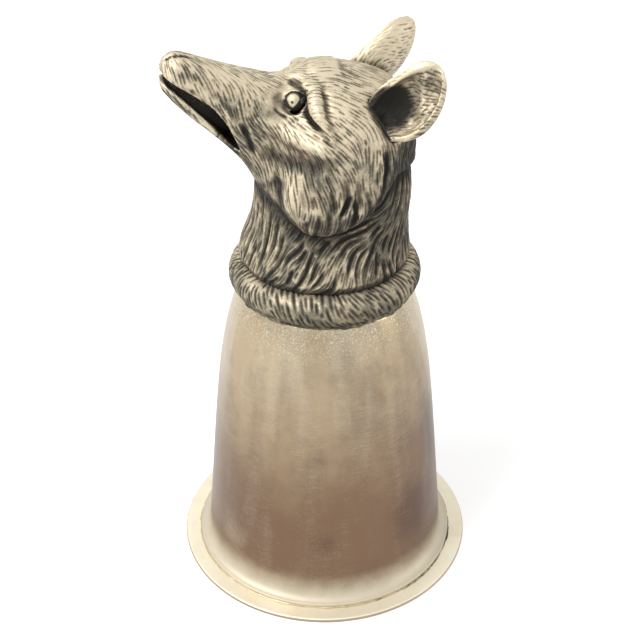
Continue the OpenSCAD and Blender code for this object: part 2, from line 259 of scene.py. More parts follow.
@dataclass(frozen=True)
class PlateFinish:
    """Worn silver plate on the spun cup: champagne at the top, browner below and towards the back with wear,
    stains, painted shade and a painted dark reflection, and pale at the foot with a painted reflection of the
    lip ring; painted highlight bands and glints run over it.
    """

    name: str = "worn_and_shaded_plate"
    champagne: Triple = (0.44, 0.348, 0.228)
    grey: Triple = (0.36, 0.295, 0.205)
    brown: Triple = (0.185, 0.118, 0.076)
    umber: Triple = (0.085, 0.046, 0.033)
    cream: Triple = (0.93, 0.86, 0.67)
    half_w: float = 30.0
    foot_h: float = 4.8
    shade_top: float = 1.03
    shade_slope: float = 1.45
    umber_shade_top: float = 0.45
    polish: float = 0.30
    patch_break: float = 7.0
    patch_core: float = 0.1
    patch_fade: float = 1.7
    stained: tuple[Patch, ...] = (
        ((11.7, -25.0, 44.0), 3.6, 0.5), ((26.6, -7.4, 44.5), 4.6, 0.5),
        ((29.3, -6.2, 19.2), 4.2, 0.5), ((24.0, 18.0, 22.0), 9.0, 0.65),
        ((13.0, 25.5, 40.0), 8.0, 0.4), ((-21.0, 19.0, 30.0), 9.0, 0.45),
        ((-27.0, -9.0, 20.0), 7.0, 0.45), ((-8.0, -28.0, 45.0), 6.0, 0.35))
    # patches where less brown is laid on
    paler_patches: tuple[Patch, ...] = (
        ((13.5, -27.3, 12.5), 6.5, 0.6), ((-20.0, 22.0, 12.0), 6.5, 0.6))

    def patches(self, g: Graph, place: Sock, uneven: Sock, spots: tuple[Patch, ...]) -> Sock:
        """Sum of soft round patches.

        Args:
            g: the material's graph.
            place: object coordinates.
            uneven: noise that breaks the patches' edges.
            spots: middle, reach and strength of each patch.

        Returns:
            Strength of the patches at a place.
        """
        total: Sock | float = 0.0
        for middle, reach, strength in spots:
            inputs = {0: place, 1: middle}
            apart = g.node("ShaderNodeVectorMath", {"operation": "DISTANCE"}, inputs, out="Value")
            edge = apart + uneven.swing(self.patch_break)
            fade = edge.between(reach * self.patch_core, reach * self.patch_fade)
            total = total + (1.0 - fade) * strength
        return total

    def material(self) -> bpy.types.Material:
        """Build the finish.

        Returns:
            The material.
        """
        g = Graph.of(self.name)
        place = g.place()
        cloud = g.noise(place, 0.04, 3.0, 0.55)
        mottle = g.noise(place, 0.2, 5.0, 0.65)
        fine = g.noise(place, 2.4, 3.0, 0.6)
        brush = g.noise(g.place((0.25, 0.25, 3.0)), 1.0, 4.0, 0.65)
        drift = g.noise(g.place((1.0, 1.0, 0.16)), 0.14, 3.0, 0.5)
        # back runs from the front to the back, the side away from the key lamp, which is given painted shade
        back = g.part(place, "Y") / self.half_w
        height = g.part(place, "Z") / BOWL_H
        colour = g.mixed((drift * 0.7 + mottle * 0.5).between(0.5, 0.72), self.champagne, self.grey)
        # browner lower down and towards the back: wear and noise mixed with painted shade and a painted dark
        # reflection
        wear_and_shade = (self.shade_top - height) * self.shade_slope + cloud.swing(0.5) + mottle.swing(0.25)
        wear_and_shade = wear_and_shade + drift.swing(0.4) + back * 0.1
        wear_and_shade = wear_and_shade - self.patches(g, place, mottle, self.paler_patches)
        colour = g.mixed(wear_and_shade.between(0.0, 1.0), colour, self.brown)
        # umber lower down and towards the back is painted shade; the patches are real stains
        stain = (self.umber_shade_top - height) * 0.3 + back * 0.26 + cloud.swing(0.7) + mottle.swing(0.5)
        stain = stain + self.patches(g, place, mottle, self.stained)
        colour = g.mixed(stain.between(0.1, 0.9) * 0.8, colour, self.umber)
        # cream at the foot is a painted reflection of the pale lip ring
        over = height * BOWL_H + mottle.swing(3.0)
        foot = 1.0 - over.between(self.foot_h * 0.3, self.foot_h * 2.1)
        colour = g.mixed(foot * 0.65, colour, self.cream)
        scratch = g.noise(g.place((1.2, 0.4, 2.6)), 1.1, 2.0, 0.5).between(0.68, 0.78)
        # painted glints under the collar and painted vertical reflection bands
        painted_glints = fine.between(0.5, 0.68) * height.between(0.84, 0.97)
        reflection_bands = g.noise(g.place((1.0, 1.0, 0.03)), 0.16, 2.0, 0.4).between(0.4, 0.62)
        reflection_streak = reflection_bands * height.between(0.4, 0.8)
        # light: painted highlight bands and glints, with lighter brushing and scratches
        light = drift.swing(0.3) + reflection_streak * 0.13 + brush.swing(0.2) + fine.swing(0.2)
        light = light + scratch * 0.1 + painted_glints * 0.36
        colour = g.mixed(light.clamped(), colour, self.cream)
        rough = self.polish + cloud.swing(0.14) + fine.swing(0.14) + wear_and_shade * 0.05
        rough = rough + brush.swing(0.12) + foot * 0.2
        relief = fine * 0.7 + mottle * 1.2 + brush * 0.35
        return g.finish({
            "Base Color": colour, "Metallic": 1.0 - foot * 0.5, "Roughness": rough,
            "Normal": g.bump(relief, 0.35, 0.04)})


@dataclass(frozen=True)
class RingFinish:
    """Bright plate of the lip ring, with a painted dark reflection round its edge."""

    name: str = "bright_plate"
    bright: Triple = (0.97, 0.90, 0.71)
    dull: Triple = (0.86, 0.77, 0.57)
    brown: Triple = (0.30, 0.215, 0.15)
    edge_from: float = 0.35
    edge_full: float = 0.05
    metal: float = 0.6
    polish: float = 0.42

    def material(self) -> bpy.types.Material:
        """Build the finish.

        Returns:
            The material.
        """
        g = Graph.of(self.name)
        place = g.place()
        cloud = g.noise(place, 0.12, 4.0, 0.6)
        fine = g.noise(place, 2.5, 3.0, 0.6)
        colour = g.mixed((cloud * 0.8 + fine * 0.3).between(0.45, 0.85), self.bright, self.dull)
        flat = g.place((1.0, 1.0, 0.0))
        reach = g.node("ShaderNodeVectorMath", {"operation": "LENGTH"}, {0: flat}, out="Value")
        # painted dark reflection on the ring's rounded side face
        edge = reach.between(RIM_R - self.edge_from, RIM_R - self.edge_full)
        colour = g.mixed(edge * 0.85, colour, self.brown)
        rough = self.polish + cloud * 0.14 + fine.swing(0.1)
        return g.finish({
            "Base Color": colour, "Metallic": self.metal, "Roughness": rough,
            "Normal": g.bump(fine, 0.2, 0.02)})


@dataclass(frozen=True)
class SolderFinish:
    """Dull solder with dark and greenish stains."""

    name: str = "stained_solder"
    pale: Triple = (0.58, 0.49, 0.33)
    dark: Triple = (0.06, 0.058, 0.038)
    lean: float = 0.2
    lift: float = -0.07
    half_w: float = 34.0

    def material(self) -> bpy.types.Material:
        """Build the finish.

        Returns:
            The material.
        """
        g = Graph.of(self.name)
        place = g.place()
        back = g.part(place, "Y") / self.half_w
        stain = g.noise(place, 0.12, 4.0, 0.6) * 0.7 + g.noise(place, 0.9, 4.0, 0.7) * 0.5
        # lean darkens the solder towards the back; lift darkens it all over, which on the collar seam is
        # painted shade under the roll
        stain = (stain + back * self.lean + self.lift).between(0.5, 0.74)
        fine = g.noise(place, 3.0, 3.0, 0.6)
        return g.finish({
            "Base Color": g.mixed(stain, self.pale, self.dark),
            "Metallic": 0.9 - stain * 0.6, "Roughness": 0.4 + stain * 0.3,
            "Normal": g.bump(fine, 0.5, 0.06)})


@dataclass(frozen=True)
class CastFinish:
    """Antiqued casting: dark in the grooves and hollows, rubbed pale on the ridges, and darkened by the
    painted shade and stains that the skins carry.
    """

    name: str = "antiqued_shaded_casting"
    pale: Triple = (0.70, 0.61, 0.445)
    mid: Triple = (0.235, 0.19, 0.13)
    dark: Triple = (0.024, 0.0215, 0.0175)
    green: Triple = (0.13, 0.135, 0.105)
    groove_ink: float = 0.62
    hollow_ink: float = 0.55

    def material(self) -> bpy.types.Material:
        """Build the finish.

        Returns:
            The material.
        """
        g = Graph.of(self.name)
        place = g.place()
        groove, hollow, stain = (g.attribute(cover) for cover in Cover)
        patch = g.noise(place, 0.16, 4.0, 0.6)
        speck = g.noise(place, 0.9, 4.0, 0.7)
        fine = g.noise(place, 3.4, 4.0, 0.65)
        hold = 0.72 + patch.swing(1.2) + speck.swing(0.7)
        # ink: patina in the grooves and hollows, plus the painted shade and stains that the skins carry
        ink = groove * self.groove_ink * hold.most(0.2) + hollow * self.hollow_ink + stain
        ink = (ink + patch.swing(0.36) + speck.swing(0.4) + fine.swing(0.25)).clamped()
        tone = g.mixed(ink.between(0.0, 0.55), self.pale, self.mid)
        verdigris = (patch - 0.42).between(0.0, 0.2) * ink.between(0.15, 0.5) * 0.6
        tone = g.mixed(verdigris, tone, self.green)
        colour = g.mixed(ink.between(0.3, 1.0), tone, self.dark)
        rough = 0.54 + ink * 0.2 + fine.swing(0.16)
        metal = 0.7 - ink.between(0.2, 0.9) * 0.5
        return g.finish({
            "Base Color": colour, "Metallic": metal, "Roughness": rough, "Specular IOR Level": 0.3,
            "Normal": g.bump(fine + speck * 1.5, 0.3, 0.06)})


@dataclass(frozen=True)
class FloorFinish:
    """Pale floor that keeps the cup's shadow and reads white to the eye and in the metal."""

    name: str = "pale_floor"
    tone: Triple = (0.76, 0.76, 0.76)
    lift: float = 0.56

    def material(self) -> bpy.types.Material:
        """Build the finish.

        Returns:
            The material.
        """
        g = Graph.of(self.name)
        matt = g.node("ShaderNodeBsdfDiffuse", None, {"Color": (*self.tone, 1.0)})
        inputs = {"Color": (*WHITE, 1.0), "Strength": g.seen() * self.lift}
        glow = g.node("ShaderNodeEmission", None, inputs)
        return g.end(g.node("ShaderNodeAddShader", None, {0: matt, 1: glow}), "Material")


def shown(
        name: str, mesh: bpy.types.Mesh, material: bpy.types.Material, slot: str, *nodes: str) -> None:
    """Put a finished piece in the scene in place of its solids.

    Args:
        name: the piece's name.
        mesh: its mesh, in metres.
        material: its finish.
        slot: the record's material slot; not used.
        nodes: the solids that it stands for.
    """
    mesh.materials.clear()
    mesh.materials.append(material)
    mesh.shade_smooth()
    piece = bpy.data.objects.new(name, mesh)
    bpy.context.scene.collection.objects.link(piece)
    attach(piece, BODY)
    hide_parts(*nodes)
    LOG.info("%s: %d faces, stands for %s", name, len(mesh.polygons), ", ".join(nodes))


def meshed(bm: bmesh.types.BMesh, name: str) -> bpy.types.Mesh:
    """Turn a bmesh into a mesh and free it.

    Args:
        bm: the bmesh.
        name: the mesh's name.

    Returns:
        The mesh.
    """
    mesh = bpy.data.meshes.new(name)
    bm.to_mesh(mesh)
    bm.free()
    return mesh


def taken(bm: bmesh.types.BMesh, name: str) -> bpy.types.Mesh:
    """Turn a bmesh in millimetres into a mesh in metres and free it."""
    bmesh.ops.scale(bm, vec=(MM, MM, MM), verts=bm.verts)
    return meshed(bm, name)


def copied(nodes: list[str], merged: bool) -> bmesh.types.BMesh:
    """Copy solids into one bmesh.

    Args:
        nodes: solids to copy.
        merged: join the loose triangles' corners.

    Returns:
        The copy, in millimetres.
    """
    bm = bmesh.new()
    for node in nodes:
        bm.from_mesh(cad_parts[node].data)
    if merged:
        bmesh.ops.remove_doubles(bm, verts=bm.verts, dist=MERGE)
    bmesh.ops.scale(bm, vec=(1 / MM, 1 / MM, 1 / MM), verts=bm.verts)
    return bm


def surface(node: str, merged: bool) -> BVHTree:
    """Search tree of a solid's surface.

    Args:
        node: the solid.
        merged: join the loose triangles' corners first.

    Returns:
        The tree, in millimetres.
    """
    bm = copied([node], merged)
    tree = BVHTree.FromBMesh(bm)
    bm.free()
    return tree


def distances(node: str, points: np.ndarray, most: float = 12.0) -> np.ndarray:
    """Distances of places from a solid's surface.

    Args:
        node: the solid.
        points: places in millimetres.
        most: distance at which the search stops.

    Returns:
        Distances in millimetres.
    """
    solid = surface(node, False)
    found = (solid.find_nearest(point, most)[3] for point in points)
    return np.array([most if apart is None else apart for apart in found])


def modified(mesh: bpy.types.Mesh, kind: str, settings: dict) -> bpy.types.Mesh:
    """Apply one modifier to a mesh.

    Args:
        mesh: the mesh, which stays as it is.
        kind: the modifier's type.
        settings: the modifier's own values.

    Returns:
        A new mesh.
    """
    holder = bpy.data.objects.new("holder", mesh)
    bpy.context.scene.collection.objects.link(holder)
    modifier = holder.modifiers.new(kind.lower(), kind)
    for key, value in settings.items():
        setattr(modifier, key, value)
    seen = holder.evaluated_get(bpy.context.evaluated_depsgraph_get())
    made = bpy.data.meshes.new_from_object(seen)
    bpy.data.objects.remove(holder)
    return made


def ramp(past: np.ndarray, span: float) -> np.ndarray:
    """Share of a span, from 0 to 1, that a value has passed."""
    return np.clip(past / span, 0.0, 1.0)


def bell(apart: np.ndarray, width: float) -> np.ndarray:
    """Share that is 1 at no distance and dies away over a width."""
    return np.exp(-(apart / width) ** 2)


@dataclass(frozen=True)
class Spot:
    """Soft oval region of a skin."""

    middle: Triple
    halves: Triple = (1.0, 1.0, 1.0)

    def offset(self, places: np.ndarray) -> np.ndarray:
        """Ways from the middle, measured in the oval's halves."""
        return (places - np.array(self.middle)) / np.array(self.halves)

    def apart(self, places: np.ndarray) -> np.ndarray:
        """Distances from the middle, measured in the oval's halves."""
        return np.linalg.norm(self.offset(places), axis=1)

    def square(self, places: np.ndarray) -> np.ndarray:
        """Squares of those distances."""
        return (self.offset(places) ** 2).sum(axis=1)


def spun(profile: list[tuple[float, float]], steps: int) -> bmesh.types.BMesh:
    """Spin a closed profile round the cup's axis.

    Args:
        profile: points of radius and height in millimetres.
        steps: copies round the axis.

    Returns:
        The spun shape, with its faces outwards.
    """
    bm = bmesh.new()
    ring = [bm.verts.new((radius, 0.0, height)) for radius, height in profile]
    edges = [bm.edges.new(pair) for pair in zip(ring, ring[1:] + ring[:1])]
    bmesh.ops.spin(
        bm, geom=ring + edges, cent=(0, 0, 0), axis=(0, 0, 1), angle=math.tau, steps=steps, use_merge=True)
    bmesh.ops.remove_doubles(bm, verts=bm.verts, dist=1e-4)
    bmesh.ops.recalc_face_normals(bm, faces=bm.faces)
    return bm


@dataclass(frozen=True)
class Ripple:
    """Smooth seeded wave field, used where a maker's hand leaves things uneven."""

    wave: float
    seed: int
    terms: int = 9

    def at(self, points: np.ndarray) -> np.ndarray:
        """Value of the field.

        Args:
            points: places in millimetres.

        Returns:
            One value for each place, about -1 to 1.
        """
        rng = np.random.default_rng(self.seed)
        total = np.zeros(len(points))
        for _ in range(self.terms):
            way = rng.normal(size=3)
            way *= rng.uniform(0.6, 1.6) * math.tau / self.wave / np.linalg.norm(way)
            total += np.sin(points @ way + rng.uniform(0.0, math.tau))
        return total / math.sqrt(self.terms / 2.0) / 1.6


def shell(start: bmesh.types.BMVert) -> list[bmesh.types.BMVert]:
    """All vertices that hang together with one.

    Args:
        start: any vertex of the shell.

    Returns:
        The shell's vertices.
    """
    found, edge = {start}, [start]
    while edge:
        vert = edge.pop()
        near = {link.other_vert(vert) for link in vert.link_edges} - found
        found |= near
        edge.extend(near)
    return list(found)


@dataclass(frozen=True)
class Lump:
    """Rounded lump that is joined to a casting before its skin is taken."""

    middle: Triple
    halves: Triple
    turn: float = 0.0

    def add(self, bm: bmesh.types.BMesh) -> None:
        """Add the lump.

        Args:
            bm: bmesh in millimetres that it is added to.
        """
        matrix = Matrix.Translation(self.middle) @ Matrix.Rotation(math.radians(self.turn), 4, "X")
        matrix = matrix @ Matrix.Diagonal((*self.halves, 1.0))
        bmesh.ops.create_uvsphere(bm, u_segments=40, v_segments=24, radius=1.0, matrix=matrix)


@dataclass(frozen=True)
class Hoop:
    """Round hoop, such as an eye's lid, that is joined to a casting before its skin is taken."""

    middle: Triple
    axis: Triple
    radius: float
    wire: float

    def add(self, bm: bmesh.types.BMesh) -> None:
        """Add the hoop.

        Args:
            bm: bmesh in millimetres that it is added to.
        """
        wire = bmesh.ops.create_circle(bm, segments=14, radius=self.wire)["verts"]
        bmesh.ops.rotate(bm, verts=wire, cent=(0, 0, 0), matrix=Matrix.Rotation(math.pi / 2, 3, "X"))
        bmesh.ops.translate(bm, verts=wire, vec=(self.radius, 0.0, 0.0))
        edges = list({edge for vert in wire for edge in vert.link_edges})
        bmesh.ops.spin(
            bm, geom=wire + edges, cent=(0, 0, 0), axis=(0, 0, 1), angle=math.tau, steps=36, use_merge=True)
        verts = shell(wire[0])
        turn = Vector((0, 0, 1)).rotation_difference(Vector(self.axis)).to_matrix()
        bmesh.ops.rotate(bm, verts=verts, cent=(0, 0, 0), matrix=turn)
        bmesh.ops.translate(bm, verts=verts, vec=self.middle)


@dataclass(frozen=True)
class Plug:
    """Oval block that closes a bore of a solid, so that its inside is no part of the shown skin."""

    half_x: float
    half_y: float
    low: float
    high: float
    middle_y: float = 0.0

    def add(self, bm: bmesh.types.BMesh) -> None:
        """Add the block.

        Args:
            bm: bmesh in millimetres that it is added to.
        """
        middle = (0.0, self.middle_y, (self.low + self.high) / 2)
        matrix = Matrix.Translation(middle) @ Matrix.Diagonal((self.half_x, self.half_y, 1.0, 1.0))
        bmesh.ops.create_cone(
            bm, cap_ends=True, segments=64, radius1=1.0, radius2=1.0, depth=self.high - self.low,
            matrix=matrix)


Block = Plug | Lump | Hoop
NECK_FOOT = Plug(16.6, 16.6, 78.8, 80.4)


class Skin:
    """Outer skin of a casting while it is chased, in millimetres."""

    def __init__(self, mesh: bpy.types.Mesh) -> None:
        """Take over a mesh.

        Args:
            mesh: closed mesh in millimetres.
        """
        self.mesh = mesh
        count = len(mesh.vertices)
        self.points = np.empty(count * 3)
        mesh.vertices.foreach_get("co", self.points)
        self.points = self.points.reshape(-1, 3)
        pairs = np.empty(len(mesh.edges) * 2, dtype=np.int64)
        mesh.edges.foreach_get("vertices", pairs)
        self.first, self.second = pairs.reshape(-1, 2).T
        self.degree = np.bincount(pairs, minlength=count).astype(float)
        self.normals = np.empty((count, 3))
        self.covers = {cover: np.zeros(count) for cover in Cover}
        self.tree: kdtree.KDTree | None = None
        self.settle()

    @classmethod
    def cast(cls, nodes: list[str], blocks: list[Block], voxel: float) -> "Skin":
        """Take one fine closed skin from copies of solids.

        Args:
            nodes: solids to copy.
            blocks: plugs that close their bores, and lumps and hoops that are joined to them.
            voxel: length of the skin's faces.

        Returns:
            The skin of the largest shell.
        """
        bm = copied(nodes, True)
        for block in blocks:
            block.add(bm)
        rough = meshed(bm, "rough_skin")
        fine = modified(rough, "REMESH", {"mode": "VOXEL", "voxel_size": voxel})
        return cls(cls.largest(fine))

    @staticmethod
    def largest(mesh: bpy.types.Mesh) -> bpy.types.Mesh:
        """Keep only a mesh's largest shell.

        Args:
            mesh: mesh of one or more shells.

        Returns:
            The same mesh.
        """
        bm = bmesh.new()
        bm.from_mesh(mesh)
        left = set(bm.verts)
        shells = []
        while left:
            shells.append(shell(next(iter(left))))
            left.difference_update(shells[-1])
        shells.sort(key=len)
        for small in shells[:-1]:
            bmesh.ops.delete(bm, geom=small, context="VERTS")
        bm.to_mesh(mesh)
        bm.free()
        return mesh

    def settle(self) -> None:
        """Write the points to the mesh and read its normals again."""
        self.mesh.vertices.foreach_set("co", self.points.ravel())
        self.mesh.update()
        flat = np.empty(len(self.points) * 3)
        self.mesh.vertex_normals.foreach_get("vector", flat)
        self.normals = flat.reshape(-1, 3)
        self.tree = None

    def search(self) -> kdtree.KDTree:
        """Search tree of the points as they are now.

        Returns:
            The tree.
        """
        if self.tree is None:
            self.tree = kdtree.KDTree(len(self.points))
            for index, point in enumerate(self.points):
                self.tree.insert(point, index)
            self.tree.balance()
        return self.tree

    def averaged(self, values: np.ndarray) -> np.ndarray:
        """Mean of each point's neighbours.

        Args:
            values: one value or row for each point.

        Returns:
            The means, in the same shape.
        """
        if values.ndim > 1:
            return np.stack([self.averaged(column) for column in values.T], axis=1)
        count = len(values)
        total = np.bincount(self.first, values[self.second], count)
        total += np.bincount(self.second, values[self.first], count)
        return total / self.degree

    def blurred(self, values: np.ndarray, rounds: int) -> np.ndarray:
        """Values after several rounds of averaging.

        Args:
            values: one value or row for each point.
            rounds: rounds of averaging.

        Returns:
            The blurred values.
        """
        for _ in range(rounds):
            values = 0.4 * values + 0.6 * self.averaged(values)
        return values

    def smooth(self, rounds: int, share: np.ndarray | float = 1.0) -> None:
        """Even out the skin without shrinking it.

        Args:
            rounds: pairs of an inward and an outward step.
            share: how much of the step each point takes.
        """
        share = np.broadcast_to(share, len(self.points))[:, None]
        for _ in range(rounds):
            for step in SMOOTH_STEPS:
                self.points = self.points + share * step * (self.averaged(self.points) - self.points)
        self.settle()

    def relax(self, rounds: int, share: np.ndarray) -> None:
        """Flatten knobs where a share is given.

        Args:
            rounds: rounds of averaging.
            share: how much of it each point takes, 0 to 1.
        """
        self.points = self.points + share[:, None] * (self.blurred(self.points, rounds) - self.points)
        self.settle()

    def push(self, heights: np.ndarray) -> None:
        """Move the skin along its normals by heights in millimetres."""
        self.points = self.points + heights[:, None] * self.normals
        self.settle()

    def below(self, rounds: int) -> np.ndarray:
        """Depth of each point under the skin round it, which rounds of averaging give."""
        return ((self.blurred(self.points, rounds) - self.points) * self.normals).sum(axis=1)

    def mark_hollows(self, rounds: int, depth: float) -> None:
        """Record how far each point lies below the skin round it.

        Args:
            rounds: rounds of averaging that give the skin round a point.
            depth: depth in millimetres that counts as a full hollow.
        """
        self.covers[Cover.HOLLOW] = np.clip(self.below(rounds) / depth, -0.6, 1.0)

    def finished(self, name: str, most: int = 196000) -> bpy.types.Mesh:
        """Hand over the mesh in metres with its attributes.

        Args:
            name: the mesh's name.
            most: most triangles that the mesh may have; flat places give way first.

        Returns:
            The mesh.
        """
        for cover, values in self.covers.items():
            layer = self.mesh.attributes.new(cover.value, "FLOAT", "POINT")
            layer.data.foreach_set("value", values.astype(np.float32))
        mesh = self.mesh
        count = sum(len(face.vertices) - 2 for face in mesh.polygons)
        if count > most:
            mesh = modified(mesh, "DECIMATE", {"ratio": most / count})
        mesh.name = name
        mesh.transform(Matrix.Diagonal((MM, MM, MM, 1.0)))
        return mesh

    def edges(self, rounds: int, sharp: float) -> np.ndarray:
        """Share of each point that may be cut: none on sharp edges such as lips and ear rims.

        Args:
            rounds: rounds of averaging that give the skin round a point.
            sharp: height over the skin round it, in millimetres, at which nothing may be cut.

        Returns:
            Shares from 0 to 1.
        """
        return self.blurred(ramp(sharp + self.below(rounds), 0.6 * sharp), 4)

    def painted_shade(self, low: float, high: float, depth: float) -> np.ndarray:
        """Painted shade: dark on faces that turn down and away from the light's way, none on faces that look
        up and ahead towards it.

        Args:
            low: height of the normal at which all of it is left.
            high: height of the normal at which none is left.
            depth: painted shade where all of it is laid on.

        Returns:
            Painted shade at each point.
        """
        facing = self.blurred(self.normals @ np.array(LIGHT_WAY), 12)
        return depth * ramp(high - facing, high - low)


def cast_shown(name: str, skin: Skin, node: str) -> None:
    """Show a casting's skin in its antiqued finish.

    Args:
        name: the piece's name.
        skin: its finished skin.
        node: the solid that it stands for.
    """
    shown(name, skin.finished(f"{name}_skin"), CastFinish().material(), "cast_metal", node)


@dataclass(frozen=True)
class Comb:
    """Lay of the fur, from marks that each give a place and the way the hairs lie there."""

    marks: tuple[tuple[Triple, Triple], ...]
    reach: float = 3.0
    sway: float = 0.25
    sway_wave: float = 9.0
    seed: int = 5

    def lay(self, places: np.ndarray, normals: np.ndarray) -> np.ndarray:
        """Direction of the hairs along the skin.

        Args:
            places: points of the left half or mirrored to it.
            normals: outward directions there.

        Returns:
            Unit directions along the skin.
        """
        total = np.zeros_like(places)
        for place, way in self.marks:
            apart = ((places - np.array(place)) ** 2).sum(axis=1)
            unit = np.array(way) / np.linalg.norm(way)
            total += unit / (apart + self.reach ** 2)[:, None] ** 2
        total = along(total, normals)
        side = np.cross(normals, total)
        turn = self.sway * Ripple(self.sway_wave, self.seed).at(places)
        return along(total * np.cos(turn)[:, None] + side * np.sin(turn)[:, None], normals)


def along(ways: np.ndarray, normals: np.ndarray) -> np.ndarray:
    """Unit directions made tangent to the skin."""
    flat = ways - normals * (ways * normals).sum(axis=1)[:, None]
    return flat / np.maximum(np.linalg.norm(flat, axis=1), 1e-9)[:, None]


@dataclass(frozen=True)
class FurPass:
    """One pass of the graver: evenly spaced lines cut along the lay of the fur."""

    spacing: float
    shortest: float
    longest: float
    width: float
    seed: int
    step: float = 0.3

    def cut(self, skin: Skin, lay: np.ndarray, share: np.ndarray, near: np.ndarray) -> np.ndarray:
        """Cut the lines.

        Args:
            skin: the skin to cut.
            lay: direction of the hairs at each point.
            share: depth share at each point; nothing starts below a tenth.
            near: distance from each point to the nearest line, which the pass brings up to date.

        Returns:
            Depth share of the cut at each point, 0 to 1.
        """
        rng = np.random.default_rng(self.seed)
        groove = np.zeros(len(share))
        for start in rng.permutation(np.flatnonzero(share > 0.1)):
            if near[start] < self.spacing * 0.85:
                continue
            length = rng.uniform(self.shortest, self.longest)
            ahead = self.follow(skin, lay, near, start, 1.0, length * 0.6)
            behind = self.follow(skin, lay, near, start, -1.0, length * 0.4)
            line = behind[::-1] + [(skin.points[start], int(start))] + ahead
            if len(line) * self.step > self.shortest * 0.4:
                self.stamp(skin, lay, line, rng.uniform(0.65, 1.0), near, groove)
        return groove * np.clip(share, 0.0, 1.0)

    def follow(
            self, skin: Skin, lay: np.ndarray, near: np.ndarray, start: int, sign: float,
            reach: float) -> list[tuple[np.ndarray, int]]:
        """Follow the lay from a point until the line is long enough or meets another.

        Args:
            skin: the skin.
            lay: direction of the hairs.
            near: distance to the nearest line.
            start: index of the first point.
            sign: 1 to follow the lay, -1 to go against it.
            reach: longest way to go.

        Returns:
            Pairs of a place and the index of the skin's point there.
        """
        place, way = skin.points[start], lay[start] * sign
        line = []
        for _ in range(int(reach / self.step)):
            place = place + way * self.step
            _, index, _ = skin.search().find(place)
            if near[index] < self.spacing * 0.5:
                break
            normal = skin.normals[index]
            place = place - normal * np.dot(place - skin.points[index], normal)
            onward = lay[index] * sign
            if np.dot(onward, way) < 0.2:
                break
            way = onward
            line.append((place, index))
        return line

    def stamp(
            self, skin: Skin, lay: np.ndarray, line: list[tuple[np.ndarray, int]], depth: float,
            near: np.ndarray, groove: np.ndarray) -> None:
        """Cut one line into the groove map.

        Args:
            skin: the skin.
            lay: direction of the hairs.
            line: places and indices along the line.
            depth: depth share of this line.
            near: distance to the nearest line, changed in place.
            groove: depth share of the cut, changed in place.
        """
        last = max(len(line) - 1, 1)
        for number, (place, index) in enumerate(line):
            found = skin.search().find_range(place, self.spacing)
            if not found:
                continue
            picked = np.array([item[1] for item in found])
            apart = skin.points[picked] - place
            onward = apart @ lay[index]
            off = np.sqrt(np.maximum((apart ** 2).sum(axis=1) - onward ** 2, 0.0))
            off = np.where(np.abs(onward) < self.step * 0.8, off, np.hypot(off, onward))
            near[picked] = np.minimum(near[picked], off)
            taper = min(1.0, 4.0 * number / last + 0.15, 2.5 * (last - number) / last + 0.05)
            wide = self.width * (0.45 + 0.55 * taper)
            groove[picked] = np.maximum(groove[picked], depth * taper * np.exp(-(off / wide) ** 2))


@dataclass(frozen=True)
class Chase:
    """One stroke of the chasing tool along a path, which raises or sinks the skin and may darken it with
    painted shade.
    """

    path: tuple[Triple, ...]
    width: float
    height: float
    stain: float = 0.0
    ends: float = 0.25

    def weight(self, places: np.ndarray) -> np.ndarray:
        """Share of the stroke at each place.

        Args:
            places: points in the path's frame.

        Returns:
            Values from 0 to 1.
        """
        points = np.array(self.path, dtype=float)
        lengths = np.linalg.norm(np.diff(points, axis=0), axis=1)
        whole = max(lengths.sum(), 1e-6)
        best = np.full(len(places), np.inf)
        share = np.zeros(len(places))
        before = 0.0
        for start, end, length in zip(points, points[1:], lengths):
            way = (end - start) / length
            reach = np.clip((places - start) @ way, 0.0, length)
            apart = np.linalg.norm(places - start - reach[:, None] * way, axis=1)
            closer = apart < best
            best = np.where(closer, apart, best)
            share = np.where(closer, (before + reach) / whole, share)
            before += length
        value = bell(best, self.width)
        if self.ends:
            value *= np.clip(np.minimum(share, 1.0 - share) / self.ends + 0.25, 0.0, 1.0)
        return value


